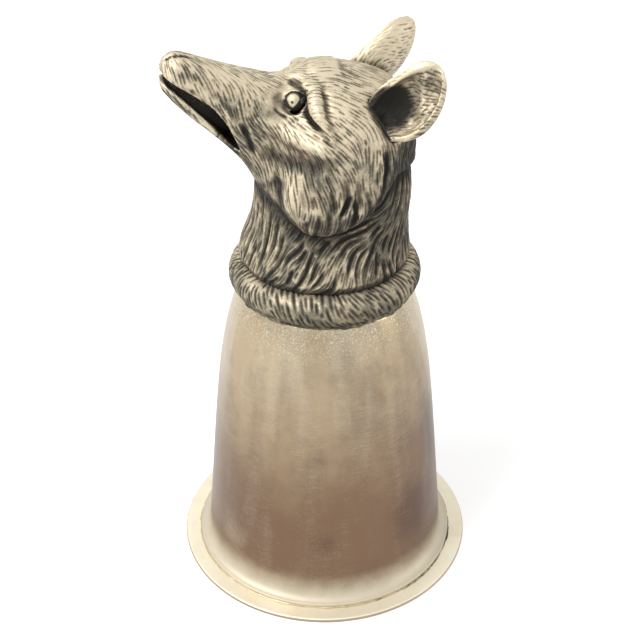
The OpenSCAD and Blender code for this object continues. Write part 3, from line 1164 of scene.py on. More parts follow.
@dataclass(frozen=True)
class Cup:
    """Spun bowl on its lip ring, with the solder in the seams at both ends."""

    rim_r: float = RIM_R
    lip_t: float = 1.2
    lip_band_w: float = 4.2
    lip_lap_w: float = 2.2
    lip_row_w: float = 2.0
    flange_t: float = 1.0
    flange_round: float = 0.18
    flare_w: float = 2.7
    flare_h: float = 3.8
    bowl_h: float = BOWL_H
    bowl_wall: float = 1.1
    bowl_end_r: float = 20.7
    inside_from: float = 0.4
    shoulder_drop: float = 4.0
    shoulder_power: float = 6.0
    seat_gap: float = 0.05
    lip_bead_r: float = 0.32
    collar_bead_r: float = 0.42
    collar_bead_out: float = 0.3
    bead_sides: int = 12
    wall_rows: int = 72
    steps: int = 288

    @property
    def flange_r(self) -> float:
        """Radius of the flange's edge."""
        return self.rim_r - self.lip_band_w

    @property
    def foot_r(self) -> float:
        """Radius of the wall at the top of the flare."""
        return self.flange_r - self.flare_w

    @property
    def foot_z(self) -> float:
        """Height of the top of the flare."""
        return self.lip_t + self.flange_t + self.flare_h

    def wall_r(self, height: float) -> float:
        """Outer radius of the wall at a height.

        Args:
            height: height over the table.

        Returns:
            The radius.
        """
        rise = (height - self.foot_z) / (self.bowl_h - self.foot_z)
        straight = self.foot_r - (self.foot_r - self.bowl_end_r - self.shoulder_drop) * rise
        return straight - self.shoulder_drop * rise ** self.shoulder_power

    def bowl_mesh(self) -> bpy.types.Mesh:
        """Spin the bowl.

        Returns:
            Its mesh.
        """
        low = self.lip_t + self.seat_gap
        flange_z = self.lip_t + self.flange_t
        flare = []
        for angle in range(4, 91, 6):
            turn = math.radians(angle)
            radius = self.foot_r + self.flare_w * (1 - math.cos(turn))
            flare.append((radius, flange_z + self.flare_h * (1 - math.sin(turn))))
        rows = self.wall_rows
        heights = [self.foot_z + (self.bowl_h - self.foot_z) * row / rows for row in range(1, rows + 1)]
        outside = flare[::-1] + [(self.wall_r(z), z) for z in heights]
        edge = self.flange_round
        rim = [(self.flange_r - edge, low), (self.flange_r, low + edge), (self.flange_r, flange_z - edge)]
        end = self.bowl_h - self.bowl_wall
        inside = [(r - self.bowl_wall, z) for r, z in outside if flange_z + self.inside_from < z < end]
        tip = [(0.0, self.bowl_h), (0.0, end), (self.wall_r(end) - 2 * self.bowl_wall, end)]
        foot = [(self.foot_r - self.bowl_wall + self.flare_w / 2, low)]
        return taken(spun(rim + outside + tip + inside[::-1] + foot, self.steps), "bowl_skin")

    def ring_mesh(self) -> bpy.types.Mesh:
        """Spin the lip ring with its rounded edge.

        Returns:
            Its mesh.
        """
        half = self.lip_t / 2
        inner = self.flange_r - self.lip_lap_w
        turns = [math.radians(angle) for angle in range(-90, 91, 15)]
        edge = [(self.rim_r - half + half * math.cos(turn), half + half * math.sin(turn)) for turn in turns]
        row = inner + self.lip_row_w
        profile = [(inner, 0.0), (row, 0.0)] + edge + [(row, self.lip_t), (inner, self.lip_t)]
        return taken(spun(profile, self.steps), "lip_ring_skin")

    def bead_mesh(
            self, name: str, corner: tuple[float, float], size: float, unevenness: float,
            seed: int) -> bpy.types.Mesh:
        """Spin a bead of solder in a corner, and make it uneven.

        Args:
            name: the mesh's name.
            corner: radius and height of the bead's middle.
            size: radius of the bead's section.
            unevenness: share of its section by which it swells and shrinks.
            seed: seed of the unevenness.

        Returns:
            The bead's mesh.
        """
        turns = [math.tau * side / self.bead_sides for side in range(self.bead_sides)]
        middle_r, middle_z = corner
        profile = [(middle_r + size * math.cos(turn), middle_z + size * math.sin(turn)) for turn in turns]
        bm = spun(profile, self.steps * 2)
        points = np.array([vert.co for vert in bm.verts])
        waves = 0.6 * Ripple(9.0, seed).at(points) + 0.5 * Ripple(2.6, seed + 1).at(points)
        for vert, share in zip(bm.verts, 1.0 + unevenness * waves):
            x, y, z = vert.co
            radius = math.hypot(x, y)
            wanted = middle_r + (radius - middle_r) * share
            vert.co = (x * wanted / radius, y * wanted / radius, middle_z + (z - middle_z) * share)
        return taken(bm, name)

    def build(self) -> None:
        """Make the cup's five pieces."""
        solder = SolderFinish().material()
        shown("spun_bowl", self.bowl_mesh(), PlateFinish().material(), "plated_sheet", "bowl")
        shown("flat_lip", self.ring_mesh(), RingFinish().material(), "plated_ring", "lip_ring")
        corner = (self.flange_r, self.lip_t + self.seat_gap)
        seam = self.bead_mesh("lip_seam_skin", corner, self.lip_bead_r, 0.6, 11)
        shown("lip_seam", seam, solder, "solder", "lip_solder")
        corner = (self.bowl_end_r + self.collar_bead_out, self.bowl_h - self.seat_gap)
        line = self.bead_mesh("collar_seam_skin", corner, self.collar_bead_r, 0.7, 12)
        # darker solder under the roll: residue and painted shade
        residue_and_shade = SolderFinish("collar_residue_and_shade", (0.30, 0.25, 0.16), lean=0.0, lift=0.06).material()
        shown("collar_seam", line, residue_and_shade, "solder", "collar_solder")
        ring = Skin.cast(["head_solder"], [], 0.2).finished("head_seam_skin")
        shown("head_seam", ring, solder, "solder", "head_solder")


@dataclass(frozen=True)
class HeadFrame:
    """The head's own axes: t to the nose, w to the side and n to the crown."""

    middle_z: float = 118.95
    tilt: float = 25.0

    @property
    def turn(self) -> tuple[float, float]:
        """Cosine and sine of the tilt."""
        return math.cos(math.radians(self.tilt)), math.sin(math.radians(self.tilt))

    def into(self, points: np.ndarray) -> np.ndarray:
        """Turn directions, or places measured from the head's middle, into the head's axes.

        Args:
            points: rows of x, y and z.

        Returns:
            Rows of t, w and n.
        """
        cos, sin = self.turn
        x, y, z = points.T
        return np.stack([z * sin - y * cos, x, y * sin + z * cos], axis=1)

    def back(self, ways: np.ndarray) -> np.ndarray:
        """Turn directions in the head's axes into the cup's.

        Args:
            ways: rows of t, w and n.

        Returns:
            Rows of x, y and z.
        """
        cos, sin = self.turn
        t, w, n = ways.T
        return np.stack([w, n * sin - t * cos, t * sin + n * cos], axis=1)

    def places(self, points: np.ndarray) -> np.ndarray:
        """Places in the head's axes, mirrored to its left half.

        Args:
            points: rows of x, y and z.

        Returns:
            Rows of t, w and n.
        """
        turned = self.into(points - np.array([0.0, 0.0, self.middle_z]))
        turned[:, 1] = np.abs(turned[:, 1])
        return turned

    def lay(self, comb: Comb, skin: Skin) -> np.ndarray:
        """Lay of the fur on both halves of a skin.

        Args:
            comb: marks on the left half, in the head's axes.
            skin: the skin.

        Returns:
            Unit directions in the cup's axes.
        """
        side = np.where(skin.points[:, 0] < 0.0, -1.0, 1.0)
        normals = self.into(skin.normals)
        normals[:, 1] *= side
        ways = comb.lay(self.places(skin.points), normals)
        ways[:, 1] *= side
        return self.back(ways)


@dataclass(frozen=True)
class Head:
    """Fox head with its ruff, chased and combed."""

    voxel: float = 0.25
    axes: HeadFrame = HeadFrame()
    socket_r: float = 2.15
    lid_axis: Triple = (0.5, -0.432, 0.753)
    lid_out: float = 1.3
    lid_r: float = 1.92
    lid_wire: float = 0.32
    knob: Spot = Spot((10.6, 5.6, 10.8), (2.4, 3.2, 2.4))
    crown: Spot = Spot((10.0, 0.0, 12.2), (4.5, 4.6, 3.5))
    ear_root: Spot = Spot((-4.6, 12.9, 12.0), (3.0, 3.0, 3.0))
    eye: Spot = Spot((13.2, 7.0, 5.4), (1.3, 1.0, 1.0))
    under_eye: Spot = Spot((15.2, 8.0, 3.0))
    cheek: Spot = Spot((7.0, 14.0, -4.0), (9.0, 8.0, 6.0))
    hem_h: float = 1.2
    nape_in: float = 1.3
    locks: FurPass = FurPass(2.3, 6.0, 13.0, 0.55, 21)
    lines: FurPass = FurPass(0.66, 4.0, 11.0, 0.2, 22)
    lock_depth: float = 0.55
    line_depth: float = 0.17
    lips_t: tuple[float, ...] = (17.0, 24.0, 32.0, 39.0)
    lips_w: tuple[float, ...] = (5.6, 5.0, 3.6, 2.4)
    mouth_n: float = -0.9
    mouth_tip: float = 38.0
    mouth_slope: float = 0.36
    mouth_half_h: float = 1.9
    neck_z: float = 99.0
    wall_near: float = 0.75

    def chases(self) -> list[Chase]:
        """Strokes of the chasing tool on the left half.

        Returns:
            The strokes, in the head's axes.
        """
        return [
            Chase(((19.0, 6.3, 4.0), (15.5, 5.5, 6.0), (13.2, 3.4, 8.0)), 1.9, -0.15, 0.1, ends=0.1),
            Chase(((17.0, 8.4, 1.6), (13.6, 9.6, 2.4), (10.4, 11.4, 3.8)), 1.3, -0.2, 0.1, ends=0.1),
            Chase(((13.9, 6.0, 5.3), (13.3, 7.4, 4.2), (12.3, 8.7, 3.9), (11.1, 9.6, 4.5),
                   (10.2, 10.1, 5.5)), 0.5, -0.5, 0.85),
            Chase(((13.9, 2.9, 7.8), (12.9, 3.4, 8.3), (11.9, 4.6, 8.7), (11.0, 6.4, 8.5),
                   (10.4, 8.4, 7.6)), 0.8, -0.6, 0.62),
            Chase(((11.0, 6.4, 8.5), (10.4, 8.4, 7.6), (9.8, 10.6, 5.8), (8.2, 12.7, 4.7),
                   (6.3, 15.2, 4.2)), 0.6, -1.1, 0.85),
            self.brow(),
            Chase(((7.6, 8.4, 11.2), (6.8, 11.4, 9.7), (5.8, 14.6, 7.2), (3.8, 16.8, 4.9)), 0.8, -0.4, 0.2),
            Chase(((13.2, -5.0, 9.5), (13.2, 0.0, 9.5), (12.6, 2.5, 9.7), (11.9, 4.4, 10.2)), 2.3, 1.3),
            Chase(((11.4, 5.9, 9.8), (10.6, 7.3, 9.8)), 1.7, 0.6, ends=0.3),
            Chase(((16.2, -4.0, 7.8), (15.4, 0.0, 7.9), (14.4, 2.0, 8.1)), 1.9, 0.7),
            Chase(((10.6, 0.0, 11.8), (8.5, 0.0, 12.8), (3.0, 0.0, 14.8)), 4.6, 1.3),
            Chase(((15.6, 7.9, 3.3), (14.1, 8.6, 2.7), (12.7, 9.6, 2.6)), 0.4, -0.55, 0.6),
            Chase(((40.2, 0.9, 3.0), (38.3, 1.3, 4.6), (35.0, 0.9, 5.5)), 0.42, -0.85, 0.95),
            Chase(((20.4, 7.8, -2.8), (17.5, 8.0, -6.0), (15.7, 8.2, -8.2)), 0.6, -0.75, 0.6),
            Chase(((38.6, 3.6, 0.6), (31.7, 5.3, 0.7), (24.5, 6.8, -1.9), (20.6, 7.5, -4.9)), 0.9, 0.55),
            Chase(((38.5, 2.8, -2.2), (31.6, 3.8, -5.3), (25.2, 4.5, -7.1), (19.4, 5.5, -9.2)), 0.9, 0.6),
            Chase(((13.2, 11.2, -1.0), (9.3, 14.3, -0.2), (6.4, 16.4, 0.2), (3.0, 18.2, 0.7)), 2.3, 0.9),
            Chase(((15.3, 8.7, -7.3), (10.0, 12.5, -6.4), (5.3, 16.9, -3.9), (2.4, 18.4, -1.6)),
                  1.7, -0.5, 0.25),
            Chase(((10.0, 11.8, -10.0), (8.4, 12.6, -13.4), (6.0, 13.6, -18.0)), 1.7, -1.1, 0.4),
            Chase(((7.4, 14.2, -9.0), (5.0, 16.2, -12.6), (2.4, 18.4, -13.2), (-2.0, 20.0, -12.2)), 2.2, 0.7),
            Chase(((-4.5, 20.1, -5.6), (-4.2, 20.3, -8.0), (-4.0, 20.2, -11.0)), 0.4, -1.1, 0.7),
            Chase(((-5.3, 20.3, -6.2), (-6.8, 20.1, -8.6), (-7.8, 19.8, -12.0)), 0.42, -1.1, 0.7),
            Chase(((-8.5, 18.0, 5.3), (-9.9, 18.8, 2.6), (-10.9, 19.3, -0.4), (-11.4, 19.6, -3.6),
                   (-10.6, 20.1, -8.0), (-9.5, 19.0, -11.5)), 0.7, -1.2, 0.8, ends=0.1),
            Chase(((-2.6, 10.6, 13.4), (-4.8, 13.4, 11.6), (-7.2, 15.2, 9.6), (-9.0, 16.6, 7.6)),
                  1.5, -0.7, 0.8),
        ]

    def lid(self) -> Chase:
        """Crest of the left eye's lid, which is kept clear of the painted shade round the eye."""
        path = circle((12.5, 7.26, 6.5), (0.71, 0.5, 0.5), self.lid_r, 0.15)
        return Chase(path, 0.5, 0.0, ends=0.0)

    @staticmethod
    def brow() -> Chase:
        """Broad ridge of the left brow."""
        return Chase(
            ((9.9, 8.0, 9.6), (9.1, 11.4, 8.4), (7.5, 14.4, 6.5), (5.4, 16.2, 5.0)), 2.0, 0.8, ends=0.45)

    def comb(self) -> Comb:
        """Lay of the head's fur on the left half, in the head's axes.

        Returns:
            The comb.
        """
        return Comb((
            ((40.0, 1.5, 2.0), (-0.6, 0.7, -0.6)),
            ((36.0, 4.0, 2.0), (-0.75, 0.3, -0.6)),
            ((33.0, 3.0, 5.0), (-0.95, 0.25, -0.25)),
            ((30.0, 5.5, 1.0), (-0.65, 0.1, -0.8)),
            ((24.0, 6.8, 1.0), (-0.6, 0.2, -0.8)),
            ((24.0, 2.5, 6.4), (-0.9, 0.35, -0.1)),
            ((18.0, 2.5, 7.2), (-0.95, 0.3, 0.0)),
            ((18.0, 8.0, 1.0), (-0.7, 0.4, -0.6)),
            ((24.0, 6.0, -9.0), (-0.9, 0.2, -0.5)),
            ((14.0, 8.0, -11.0), (-0.7, 0.2, -0.7)),
            ((11.0, 3.0, 10.5), (-0.85, 0.5, 0.2)),
            ((9.4, 8.6, 9.8), (-0.9, 0.1, 0.4)),
            ((8.2, 13.0, 7.4), (-0.85, 0.1, 0.4)),
            ((5.4, 16.2, 5.0), (-0.7, 0.4, -0.3)),
            ((4.0, 5.0, 14.5), (-0.95, 0.2, 0.1)),
            ((-4.0, 5.0, 16.0), (-1.0, 0.1, 0.0)),
            ((0.0, 12.0, 12.0), (-0.9, 0.3, -0.3)),
            ((-14.0, 6.0, 12.0), (-0.7, 0.1, -0.7)),
            ((-18.0, 6.0, 4.0), (-0.2, 0.1, -1.0)),
            ((11.0, 11.0, 0.0), (-0.85, 0.4, -0.35)),
            ((4.0, 17.0, 0.0), (-0.8, 0.3, -0.55)),
            ((10.0, 10.5, -7.0), (-0.75, 0.3, -0.65)),
            ((4.0, 17.0, -8.0), (-0.6, 0.1, -0.8)),
            ((-2.0, 19.5, -4.0), (-0.7, 0.1, -0.7)),
            ((6.0, 12.0, -15.0), (-0.35, 0.2, -0.9)),
            ((0.0, 17.5, -15.0), (-0.3, 0.0, -0.95)),
            ((-6.0, 19.0, -12.0), (-0.35, 0.0, -0.9)),
            ((-10.0, 18.0, -3.0), (-0.25, 0.0, -0.95)),
            ((-9.0, 18.0, 4.0), (-0.6, 0.1, -0.75)),
        ))

    def blocks(self) -> list[Block]:
        """Blocks that are joined to the castings before the skin is taken.

        Returns:
            Plugs of the bores, a lump in the muzzle, and the eyes' sockets and lids.
        """
        made = [Plug(13.2, 14.6, 112.0, 118.0, 2.0), NECK_FOOT]
        made.append(Lump((0.0, -27.3, 126.7), (2.7, 9.0, 2.6), -44.0))
        for sign in (1.0, -1.0):
            middle = Vector((sign * EYE_MIDDLE[0], *EYE_MIDDLE[1:]))
            axis = Vector((sign * self.lid_axis[0], *self.lid_axis[1:]))
            made.append(Lump(tuple(middle), (self.socket_r,) * 3))
            made.append(Hoop(tuple(middle + self.lid_out * axis), tuple(axis), self.lid_r, self.lid_wire))
        return made

    def build(self) -> None:
        """Cast, chase, comb and finish the head."""
        skin = Skin.cast(["head_casting", "neck_casting"], self.blocks(), self.voxel)
        LOG.info("head skin: %d points", len(skin.points))
        skin = self.parted(skin)
        skin.smooth(10)
        skin.relax(90, np.exp(-self.knob.square(self.axes.places(skin.points))))
        stain = self.chased(skin)
        self.combed(skin, stain)
        cast_shown("fox_head", skin, "head_casting")

    def chased(self, skin: Skin) -> np.ndarray:
        """Chase the head's features.

        Args:
            skin: the head's skin, which is changed.

        Returns:
            Painted shade and stain that the strokes leave at each point.
        """
        places = self.axes.places(skin.points)
        heights, stain = np.zeros(len(places)), np.zeros(len(places))
        for chase in self.chases():
            weight = chase.weight(places)
            heights += chase.height * weight
            stain = np.maximum(stain, chase.stain * weight)
        # keep the painted shade off the lid's crest
        stain *= 1.0 - 0.9 * self.lid().weight(places)
        ahead, _, up = places.T
        apart = distances("neck_casting", skin.points)
        heights += self.hem_h * bell(apart - 3.2, 1.8) * ramp(10.0 - ahead, 5.0)
        # painted shadow where the head meets the neck under the ruff
        stain = np.maximum(stain, 0.75 * bell(apart, 1.1))
        heights -= self.nape_in * ramp(-12.2 - ahead, 2.5) * ramp(9.0 - up, 4.0)
        skin.push(heights)
        skin.smooth(2)
        places = self.axes.places(skin.points)
        knobs = np.minimum(self.crown.square(places), self.ear_root.square(places))
        skin.relax(60, 0.9 * np.exp(-knobs))
        return stain

    def combed(self, skin: Skin, stain: np.ndarray) -> None:
        """Cut the fur and lay on the patina and the painted shade.

        Args:
            skin: the head's skin, which is changed.
            stain: painted shade and stain that the chasing left.
        """
        lay = self.axes.lay(self.comb(), skin)
        places = self.axes.places(skin.points)
        ahead, _, up = places.T
        ruff = ramp(7.0 - ahead, 6.0) * ramp(0.0 - up, 7.0)
        eye, under = self.eye.apart(places), self.under_eye.apart(places)
        bare = ramp(eye - 2.6, 1.6) * ramp(under - 2.2, 1.6)
        brow = np.clip(2.0 * self.brow().weight(places) - 0.4, 0.0, 1.0)
        bare *= np.maximum(skin.edges(30, 0.5), brow)
        near = np.full(len(places), np.inf)
        locks = self.locks.cut(skin, lay, ruff, near)
        lines = self.lines.cut(skin, lay, bare, near)
        skin.push(-self.lock_depth * locks - (self.line_depth + 0.06 * ruff) * lines)
        skin.covers[Cover.GROOVE] = np.clip(np.maximum(locks, lines), 0.0, 1.0)
        # painted shade: dark inside the mouth, on the lower cheek, at the nape, on the ruff and on faces
        # turned from the light
        mouth = np.clip(1.0 - self.mouth_depth(places), 0.0, 1.0)
        cheek = 0.16 * np.exp(-self.cheek.square(places))
        nape = 0.3 * ramp(-8.0 - ahead, 6.0)
        stain = np.maximum(stain, mouth) + skin.painted_shade(-0.5, 0.95, 0.6)
        skin.covers[Cover.SHADE_AND_STAIN] = stain + cheek + nape + 0.09 * ruff
        skin.mark_hollows(40, 0.6)
        clear = ramp(np.minimum(eye, under + 0.6) - 3.2, 2.4)
        skin.covers[Cover.HOLLOW] *= 0.2 + 0.8 * clear

    def mouth_depth(self, places: np.ndarray) -> np.ndarray:
        """Distance outside the mouth, in which 0 is well inside it.

        Args:
            places: points in the head's axes.

        Returns:
            Distances in millimetres.
        """
        t, w, n = places.T
        middle = self.mouth_n - (self.mouth_tip - t) * self.mouth_slope
        inside = np.minimum(ramp(self.lips_t[-1] - t, 1.0), ramp(t - self.lips_t[0], 1.0))
        beside = np.maximum(w - np.interp(t, self.lips_t, self.lips_w), 0.0)
        above = np.maximum(np.abs(n - middle) - self.mouth_half_h, 0.0)
        return 2.0 - 2.0 * inside + beside * 1.5 + above

    def parted(self, skin: Skin) -> Skin:
        """Keep the head's side of a skin that also covers the neck, and close it inside the neck.

        Args:
            skin: skin of the head on the neck.

        Returns:
            The head's skin.
        """
        solid = surface("head_casting", True)
        bm = bmesh.new()
        bm.from_mesh(skin.mesh)
        far = [
            vert for vert in bm.verts
            if vert.co.z < self.neck_z or solid.find_nearest(vert.co)[3] > self.wall_near]
        bmesh.ops.delete(bm, geom=far, context="VERTS")
        rim = [edge for edge in bm.edges if edge.is_boundary]
        for _ in range(2):
            made = bmesh.ops.extrude_edge_only(bm, edges=rim)["geom"]
            verts = [item for item in made if isinstance(item, bmesh.types.BMVert)]
            bmesh.ops.scale(bm, vec=(0.9, 0.9, 1.0), space=Matrix.Translation((0.0, -1.8, 0.0)), verts=verts)
            rim = [item for item in made if isinstance(item, bmesh.types.BMEdge) and item.is_boundary]
        bmesh.ops.holes_fill(bm, edges=rim, sides=0)
        bmesh.ops.triangulate(bm, faces=[face for face in bm.faces if len(face.verts) > 4])
        bm.to_mesh(skin.mesh)
        bm.free()
        return Skin(Skin.largest(skin.mesh))


def circle(
        middle: Triple, axis: Triple, radius: float, forward: float,
        steps: int = 20) -> tuple[Triple, ...]:
    """Closed ring of points.

    Args:
        middle: middle of the ring before it is moved.
        axis: direction that the ring faces.
        radius: its radius.
        forward: move along the axis.
        steps: points round the ring.

    Returns:
        The points, with the first again at the end.
    """
    face = Vector(axis).normalized()
    side = face.orthogonal().normalized()
    up = face.cross(side)
    points = []
    for step in range(steps + 1):
        turn = math.tau * step / steps
        spot = Vector(middle) + face * forward + (side * math.cos(turn) + up * math.sin(turn)) * radius
        points.append(tuple(spot))
    return tuple(points)


@dataclass(frozen=True)
class Neck:
    """Neck with long wavy locks."""

    voxel: float = 0.24
    low: float = 86.35
    high: float = 114.35
    locks: FurPass = FurPass(2.1, 10.0, 24.0, 0.5, 41)
    lines: FurPass = FurPass(0.68, 4.0, 10.0, 0.22, 42)
    lock_depth: float = 0.75
    line_depth: float = 0.2

    def lay(self, skin: Skin) -> np.ndarray:
        """Lay of the locks: down the front and back, and slanting forwards down the sides in waves.

        Args:
            skin: the neck's skin.

        Returns:
            Unit directions along the skin.
        """
        x, y, z = skin.points.T
        turn = np.arctan2(np.abs(x), -y)
        slant = 1.15 * np.sin(turn) ** 2
        rise = (z - self.low) / (self.high - self.low)
        wave = 0.45 * np.sin(rise * math.tau * 1.1 + turn * 1.6 + 0.6)
        wave = wave + 0.3 * Ripple(8.0, 31).at(skin.points)
        angle = np.clip(slant * (0.55 + 0.65 * rise) + wave * np.sin(turn), -0.5, 1.35)
        around = np.stack([-y, x, np.zeros_like(x)], axis=1)
        around /= np.linalg.norm(around, axis=1)[:, None]
        forwards = around * np.where(x > 0.0, -1.0, 1.0)[:, None]
        ways = forwards * np.sin(angle)[:, None] - np.cos(angle)[:, None] * np.array([0.0, 0.0, 1.0])
        return along(ways, skin.normals)

    def build(self) -> None:
        """Cast, comb and finish the neck."""
        blocks = [Plug(13.4, 14.6, 112.6, 114.3, 2.0), NECK_FOOT]
        skin = Skin.cast(["neck_casting"], blocks, self.voxel)
        LOG.info("neck skin: %d points", len(skin.points))
        skin.smooth(8)
        lay = self.lay(skin)
        z = skin.points[:, 2]
        share = ramp(z - self.low + 1.0, 2.0) * ramp(self.high - 1.0 - z, 2.0)
        near = np.full(len(share), np.inf)
        locks = self.locks.cut(skin, lay, share, near)
        lines = self.lines.cut(skin, lay, share, near)
        skin.push(-self.lock_depth * locks - self.line_depth * lines)
        skin.covers[Cover.GROOVE] = np.clip(np.maximum(1.2 * locks, 0.9 * lines), 0.0, 1.0)
        # painted shade: a shadow under the head, dark where the neck goes into the roll and towards the back,
        # and on faces turned from the light
        under = 0.55 * bell(distances("head_casting", skin.points), 3.0)
        _, y, z = skin.points.T
        foot = 0.6 * bell(z - self.low, 1.2)
        foot += 0.05 + 0.15 * ramp(y - 3.0, 8.0)
        skin.covers[Cover.SHADE_AND_STAIN] = 0.3 + under + foot + skin.painted_shade(-0.6, 0.3, 0.1)
        skin.mark_hollows(40, 0.6)
        cast_shown("furred_neck", skin, "neck_casting")


@dataclass(frozen=True)
class Collar:
    """Roll of fur round the neck's foot."""

    middle_r: float = 19.2
    middle_z: float = 82.3
    roll_r: float = 4.0
    bore_r: float = 17.7
    seat_z: float = 78.65
    steps: int = 520
    lines: FurPass = FurPass(1.05, 3.0, 9.0, 0.34, 52)
    line_depth: float = 0.34

    def mesh(self) -> bpy.types.Mesh:
        """Spin the roll with its flat seat and its bore.

        Returns:
            Its mesh in millimetres.
        """
        profile = []
        for angle in range(-64, 110, 3):
            turn = math.radians(angle)
            radius = self.middle_r + self.roll_r * math.cos(turn)
            height = self.middle_z + self.roll_r * math.sin(turn)
            profile.append((max(radius, self.bore_r), max(height, self.seat_z)))
        profile.append((self.bore_r, self.seat_z))
        return meshed(spun(profile, self.steps), "collar_roll_skin")

    def build(self) -> None:
        """Spin, comb and finish the roll."""
        skin = Skin(self.mesh())
        x, y, _ = skin.points.T
        radius = np.hypot(x, y)
        around = np.stack([-y / radius, x / radius, np.zeros_like(x)], axis=1)
        lean = 0.35 + 0.25 * Ripple(14.0, 51).at(skin.points)
        down = np.cross(around, skin.normals)
        lay = along(down + around * (lean * np.where(x > 0.0, 1.0, -1.0))[:, None], skin.normals)
        share = ramp(radius - self.bore_r - 0.3, 0.8)
        lines = self.lines.cut(skin, lay, share, np.full(len(share), np.inf))
        skin.push(-self.line_depth * lines)
        skin.covers[Cover.GROOVE] = lines
        # painted shade round the bore, where the roll meets the neck
        bore = np.clip(1.4 - (radius - self.bore_r), 0.0, 1.0)
        skin.covers[Cover.SHADE_AND_STAIN] = 0.3 + skin.painted_shade(-0.6, 0.8, 0.3) + 0.7 * bore
        skin.mark_hollows(12, 0.5)
        cast_shown("fur_roll", skin, "collar_roll")


@dataclass(frozen=True)
class EarSide:
    """What one ear has of its own."""

    name: str
    sign: float
    wider: float
    groove: float
    shade_depth: float


@dataclass(frozen=True)
class Ears:
    """Pair of hollow ears."""

    voxel: float = 0.2
    axes: HeadFrame = HeadFrame()
    concha: Spot = Spot((-7.2, 11.8, 13.6), (4.5, 6.0, 4.4))
    opening: Triple = (0.35, 0.886, 0.303)
    lines: FurPass = FurPass(0.72, 2.0, 6.0, 0.2, 61)
    line_depth: float = 0.12
    sides: tuple[EarSide, ...] = (
        # the far (right) ear faces the light, so it gets lighter grooves and less painted shade
        EarSide("left", 1.0, 1.0, 1.0, 0.4), EarSide("right", -1.0, 1.1, 0.6, 0.14))

    def chases(self) -> list[Chase]:
        """Strokes inside the left ear: a broad flat border at its back, and a hole at its root.

        Returns:
            The strokes, in the head's axes.
        """
        return [
            Chase(((-9.0, 13.4, 25.0), (-11.4, 12.9, 21.8), (-13.0, 14.0, 17.6), (-12.6, 16.6, 13.8)),
                  2.6, 2.0),
            Chase(((-6.5, 12.7, 10.6), (-6.9, 12.2, 10.4)), 1.1, -1.3, 1.0, ends=0.0),
        ]

    @staticmethod
    def brim() -> Chase:
        """Back of the left ear's edge, where the fur runs over it."""
        return Chase(
            ((-11.5, 15.0, 25.6), (-13.3, 16.5, 24.1), (-13.9, 17.4, 21.4), (-14.1, 18.3, 18.2),
             (-13.6, 18.7, 14.8), (-12.7, 18.6, 12.1), (-10.1, 17.1, 9.1)), 1.8, 0.0, ends=0.3)

    @staticmethod
    def comb() -> Comb:
        """Lay of the left ear's fur, in the head's axes."""
        return Comb((
            ((-6.0, 13.0, 12.0), (-0.2, 0.3, 0.9)),
            ((-10.0, 17.0, 20.0), (-0.6, 0.5, 0.3)),
            ((-14.0, 12.0, 22.0), (-0.7, 0.5, 0.1)),
        ), sway=0.2)

    def build(self) -> None:
        """Make both ears."""
        for side in self.sides:
            self.ear(side)

    def ear(self, side: EarSide) -> None:
        """Cast, comb and finish one ear.

        Args:
            side: what this ear has of its own.
        """
        node = f"{side.name}_ear"
        skin = Skin.cast([node], [], self.voxel)
        LOG.info("%s ear skin: %d points", side.name, len(skin.points))
        if side.wider != 1.0:
            front = skin.points[:, 1].min()
            skin.points[:, 1] = front + (skin.points[:, 1] - front) * side.wider
        skin.smooth(6)
        places = self.axes.places(skin.points)
        facing = self.axes.into(skin.normals) * np.array([1.0, side.sign, 1.0])
        inner = skin.blurred(ramp(facing @ np.array(self.opening) - 0.1, 0.3), 6)
        chases = self.chases()
        border, hole = weights = [chase.weight(places) for chase in chases]
        skin.push(inner * sum(chase.height * weight for chase, weight in zip(chases, weights)))
        lay = self.axes.lay(self.comb(), skin)
        brim = self.brim().weight(self.axes.places(skin.points))
        share = np.maximum(skin.edges(10, 0.1) * skin.edges(60, 0.25), brim)
        lines = self.lines.cut(skin, lay, share, np.full(len(lay), np.inf))
        skin.push(-self.line_depth * lines)
        skin.covers[Cover.GROOVE] = lines * side.groove
        # painted shade deep in the ear's hollow, in the dimple at its root, where the ear meets the head and
        # on faces turned from the light; darker on the border and brim
        deep = self.concha.apart(self.axes.places(skin.points))
        root = bell(distances("head_casting", skin.points), 1.6)
        tint = 0.12 * border * inner + 0.18 * brim + 0.3 * root + skin.painted_shade(-0.5, 0.9, side.shade_depth)
        skin.covers[Cover.SHADE_AND_STAIN] = 0.85 * ramp(1.2 - deep, 0.35) * inner + hole + tint
        skin.mark_hollows(60, 0.8)
        skin.covers[Cover.HOLLOW] *= 1.0 - 0.25 * ramp(deep - 0.95, 0.4) * inner
        cast_shown(f"{side.name}_fox_ear", skin, node)


